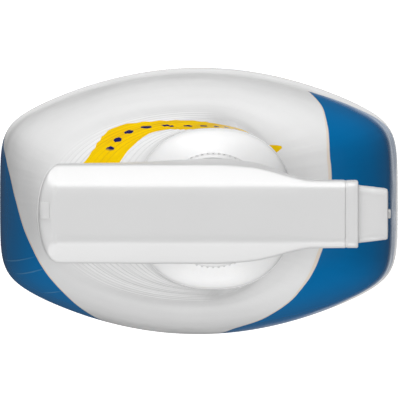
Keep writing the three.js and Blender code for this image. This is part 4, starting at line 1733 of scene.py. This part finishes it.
@dataclass
class Nozzle:
    """The square turning cap with its flange, the insert with the orifice, and its seal."""

    flange_half: float = 8.7
    flange: float = 3.0
    root_half: float = 7.4
    tip_half: float = 6.6
    corner: float = 0.32
    sides: int = 96

    def square(self, half: float, x: float, z: float) -> np.ndarray:
        """Gives a rounded square across the spray axis.

        Args:
            half: half its width.
            x: its place along the axis.
            z: the axis's height.

        Returns:
            Its points.
        """
        angle = np.linspace(0, 2 * np.pi, self.sides, endpoint=False)
        c, s = np.cos(angle), np.sin(angle)
        radius = half * self.corner
        reach = half / np.maximum(np.abs(c), np.abs(s))
        y, up = reach * c, reach * s
        inner = half - radius
        over = np.hypot(np.maximum(np.abs(y) - inner, 0), np.maximum(np.abs(up) - inner, 0))
        at_corner = (np.abs(y) > inner) & (np.abs(up) > inner)
        fit = np.where(at_corner, radius / np.maximum(over, 1e-9), 1)
        y = np.where(fit < 1, np.sign(y) * (inner + (np.abs(y) - inner) * fit), y)
        up = np.where(fit < 1, np.sign(up) * (inner + (np.abs(up) - inner) * fit), up)
        return np.column_stack([np.full(self.sides, x), y, z + up])

    def circle(self, radius: float, x: float, z: float) -> np.ndarray:
        """Gives a circle across the spray axis, with as many points as a square.

        Args:
            radius: its radius.
            x: its place along the axis.
            z: the axis's height.

        Returns:
            Its points.
        """
        angle = np.linspace(0, 2 * np.pi, self.sides, endpoint=False)
        y, up = radius * np.cos(angle), radius * np.sin(angle)
        return np.column_stack([np.full(self.sides, x), y, z + up])

    def build(self, finishes: Finishes) -> None:
        """Makes the cap, the insert, the seal and the spinner behind it.

        Args:
            finishes: the materials.
        """
        (back, tip), z = span_mm("nozzle_cap", Axis.X), centre_mm("nozzle_cap", Axis.Z)
        f, r, t = self.flange_half, self.root_half, self.tip_half
        end = back + self.flange - 0.15
        squares = [
            (f - 0.22, back - 0.58), (f - 0.1, back - 0.48), (f - 0.1, back - 0.1),
            (f - 0.04, back), (f, back + 0.12), (f, end - 0.3), (f - 0.1, end - 0.1),
            (f - 0.3, end), (r + 0.3, end), (r + 0.08, end + 0.08), (r, end + 0.3),
            ((r + t) / 2, (end + tip) / 2), (t, tip - 0.7), (t - 0.2, tip - 0.2),
            (t - 0.7, tip), (t - 2.2, tip),
        ]
        circles = [
            (2.3, tip), (2.15, tip - 0.25), (1.35, tip - 0.3), (1.3, tip - 0.5), (1.3, back + 8.9),
            (4, back + 8.8), (4, back + 4.4), (5.6, back + 4.4), (5.6, back - 2), (7, back - 2),
            (7.2, back - 1.8), (7.2, back - 0.5),
        ]
        rings = [self.square(half, x, z) for half, x in squares]
        rings += [self.circle(radius, x, z) for radius, x in circles]
        made = sharpen(face_outwards(make_object("nozzle_knob", *closed_loop(rings))))
        finish_piece(made, finishes.white_pp, "nozzle", ["nozzle_cap"])
        a, b = span_mm("nozzle_insert", Axis.X)
        profile = [(1.25, a), (1.25, b - 0.3), (1.0, b), (0.5, b), (0.4, b - 0.3), (0.4, a)]
        insert = turned("orifice_insert", profile, Axis.X, (0, 0, z), 48, 0.05, hollow=True)
        finish_piece(insert, finishes.white_pp, "nozzle", ["nozzle_insert"])
        a, b = span_mm("nozzle_seal", Axis.X)
        ring = [(3.15, a), (3.85, a), (3.85, b), (3.15, b)]
        seal = turned("nozzle_ring", ring, Axis.X, (0, 0, z), 64, 0.25, hollow=True)
        finish_piece(seal, finishes.seal, "nozzle", ["nozzle_seal"])
        a, b = span_mm("spinner", Axis.X)
        profile = [(0, a), (1.15, a), (1.15, b - 1.5), (2.6, b - 1.5), (2.6, b - 0.3),
                   (1.6, b - 0.3), (1.6, b), (0, b)]
        swirl = turned("swirl_plug", profile, Axis.X, (0, 0, z), 48, 0.08)
        finish_piece(swirl, finishes.natural_pp, "sprayer", ["spinner"])


# ---- The studio -------------------------------------------------------------------------------


@dataclass
class Studio:
    """A pale floor, large soft lights and a camera straight overhead."""

    eye: tuple[float, float, float] = (0.020, 0.0315, 1.700)
    aim: tuple[float, float, float] = (0.00015, -0.00015, 0.060)
    lens: float = 501.8
    lamps: Sequence[tuple[str, tuple[float, float, float], float, float]] = (
        ("key", (-0.25, 1.9, 0.55), 1.5, 41.5),
        ("fill", (-0.1, -1.95, 0.5), 1.5, 25),
        ("high_front", (0.9, -0.4, 1.85), 1.2, 8),
        ("high_back", (-1.0, -0.7, 1.7), 1.2, 7.6),
        ("overhead", (0, 0.1, 2.4), 1.2, 4),
    )

    def floor(self) -> None:
        """Lays the floor, of matt white board."""
        look = Look(
            "matt_white_board", IOR=1.45, Roughness=0.8,
            Emission_Color="#ffffff", Emission_Strength=0.5,
        )
        grain = look.mottle(3, 0, 1)
        bump = look.add("ShaderNodeBump", {"Height": grain, "Distance": 0.01 * MM})
        look.feed(Base_Color=look.blend(60, ("#fbfbfb", "#f8f8f8")), Normal=bump)
        size = 6000
        points = np.array([(-size, -size, 0), (size, -size, 0), (size, size, 0), (-size, size, 0)])
        made = make_object("floor", points, [(0, 1, 2, 3)])
        made.data.materials.append(look.material)
        made.visible_diffuse = False
        made.visible_glossy = False

    def lamp(self, name: str, place: Sequence[float], size: float, watts: float) -> None:
        """Hangs a square soft light that faces the object.

        Args:
            name: its name.
            place: where it hangs, in metres.
            size: its side, in metres.
            watts: its power.
        """
        data = bpy.data.lights.new(name, "AREA")
        data.shape = "SQUARE"
        data.size, data.energy = size, watts
        made = bpy.data.objects.new(name, data)
        made.location = place
        aim = Vector((0, 0, 0.18)) - Vector(place)
        made.rotation_euler = aim.to_track_quat("-Z", "Y").to_euler()
        bpy.context.scene.collection.objects.link(made)

    def camera(self) -> None:
        """Sets the camera, with the object's own +Y at the top of the picture."""
        data = bpy.data.cameras.new("overhead")
        data.lens, data.sensor_width = self.lens, 36
        data.clip_end = 100
        made = bpy.data.objects.new("overhead", data)
        made.location = self.eye
        back = (Vector(self.eye) - Vector(self.aim)).normalized()
        right = Vector((0, 1, 0)).cross(back).normalized()
        up = back.cross(right)
        turn = Matrix((right, up, back)).transposed().to_4x4()
        made.matrix_world = Matrix.Translation(self.eye) @ turn
        bpy.context.scene.collection.objects.link(made)
        bpy.context.scene.camera = made

    def build(self) -> None:
        """Sets up the floor, lights, world and camera."""
        self.floor()
        for lamp in self.lamps:
            self.lamp(*lamp)
        world = bpy.data.worlds.new("studio")
        world.use_nodes = True
        tree = world.node_tree
        tree.nodes.clear()
        # A dim room that is paler above, and a narrow pale bounce from the floor below.
        place = add_node(tree, "ShaderNodeTexCoord").outputs["Generated"]
        x, y, z = add_node(tree, "ShaderNodeSeparateXYZ", (place,)).outputs
        ahead = add_node(tree, "ShaderNodeMath", (x, y), operation="MAXIMUM")
        rise, sweep, side = (
            add_node(tree, "ShaderNodeMapRange", limits)
            for limits in (
                (z, -0.25, 0.2, 0.05, 0.28), (z, -0.965, -0.99, 0.0, 0.75),
                (ahead, 0.0, 0.06, 0.0, 1.0),
            )
        )
        bounce = add_node(tree, "ShaderNodeMath", (sweep, side, rise), operation="MULTIPLY_ADD")
        glow = add_node(tree, "ShaderNodeBackground", {"Color": "#ffffff", "Strength": bounce})
        add_node(tree, "ShaderNodeOutputWorld", {"Surface": glow})
        bpy.context.scene.world = world
        bpy.context.scene.view_settings.view_transform = "Standard"
        bpy.context.scene.view_settings.look = "None"
        self.camera()


def main() -> None:
    """Builds the bottle, the sprayer and the studio in order."""
    finishes = make_finishes()
    shape = BottleShape()
    Bottle(shape).build(finishes)
    Sleeve(shape).build(finishes)
    Closure().build(finishes)
    Housing().build(finishes)
    Shroud().build(finishes)
    Trigger().build(finishes)
    Pump().build(finishes)
    Nozzle().build(finishes)
    Studio().build()


if __name__ == "__main__":
    main()
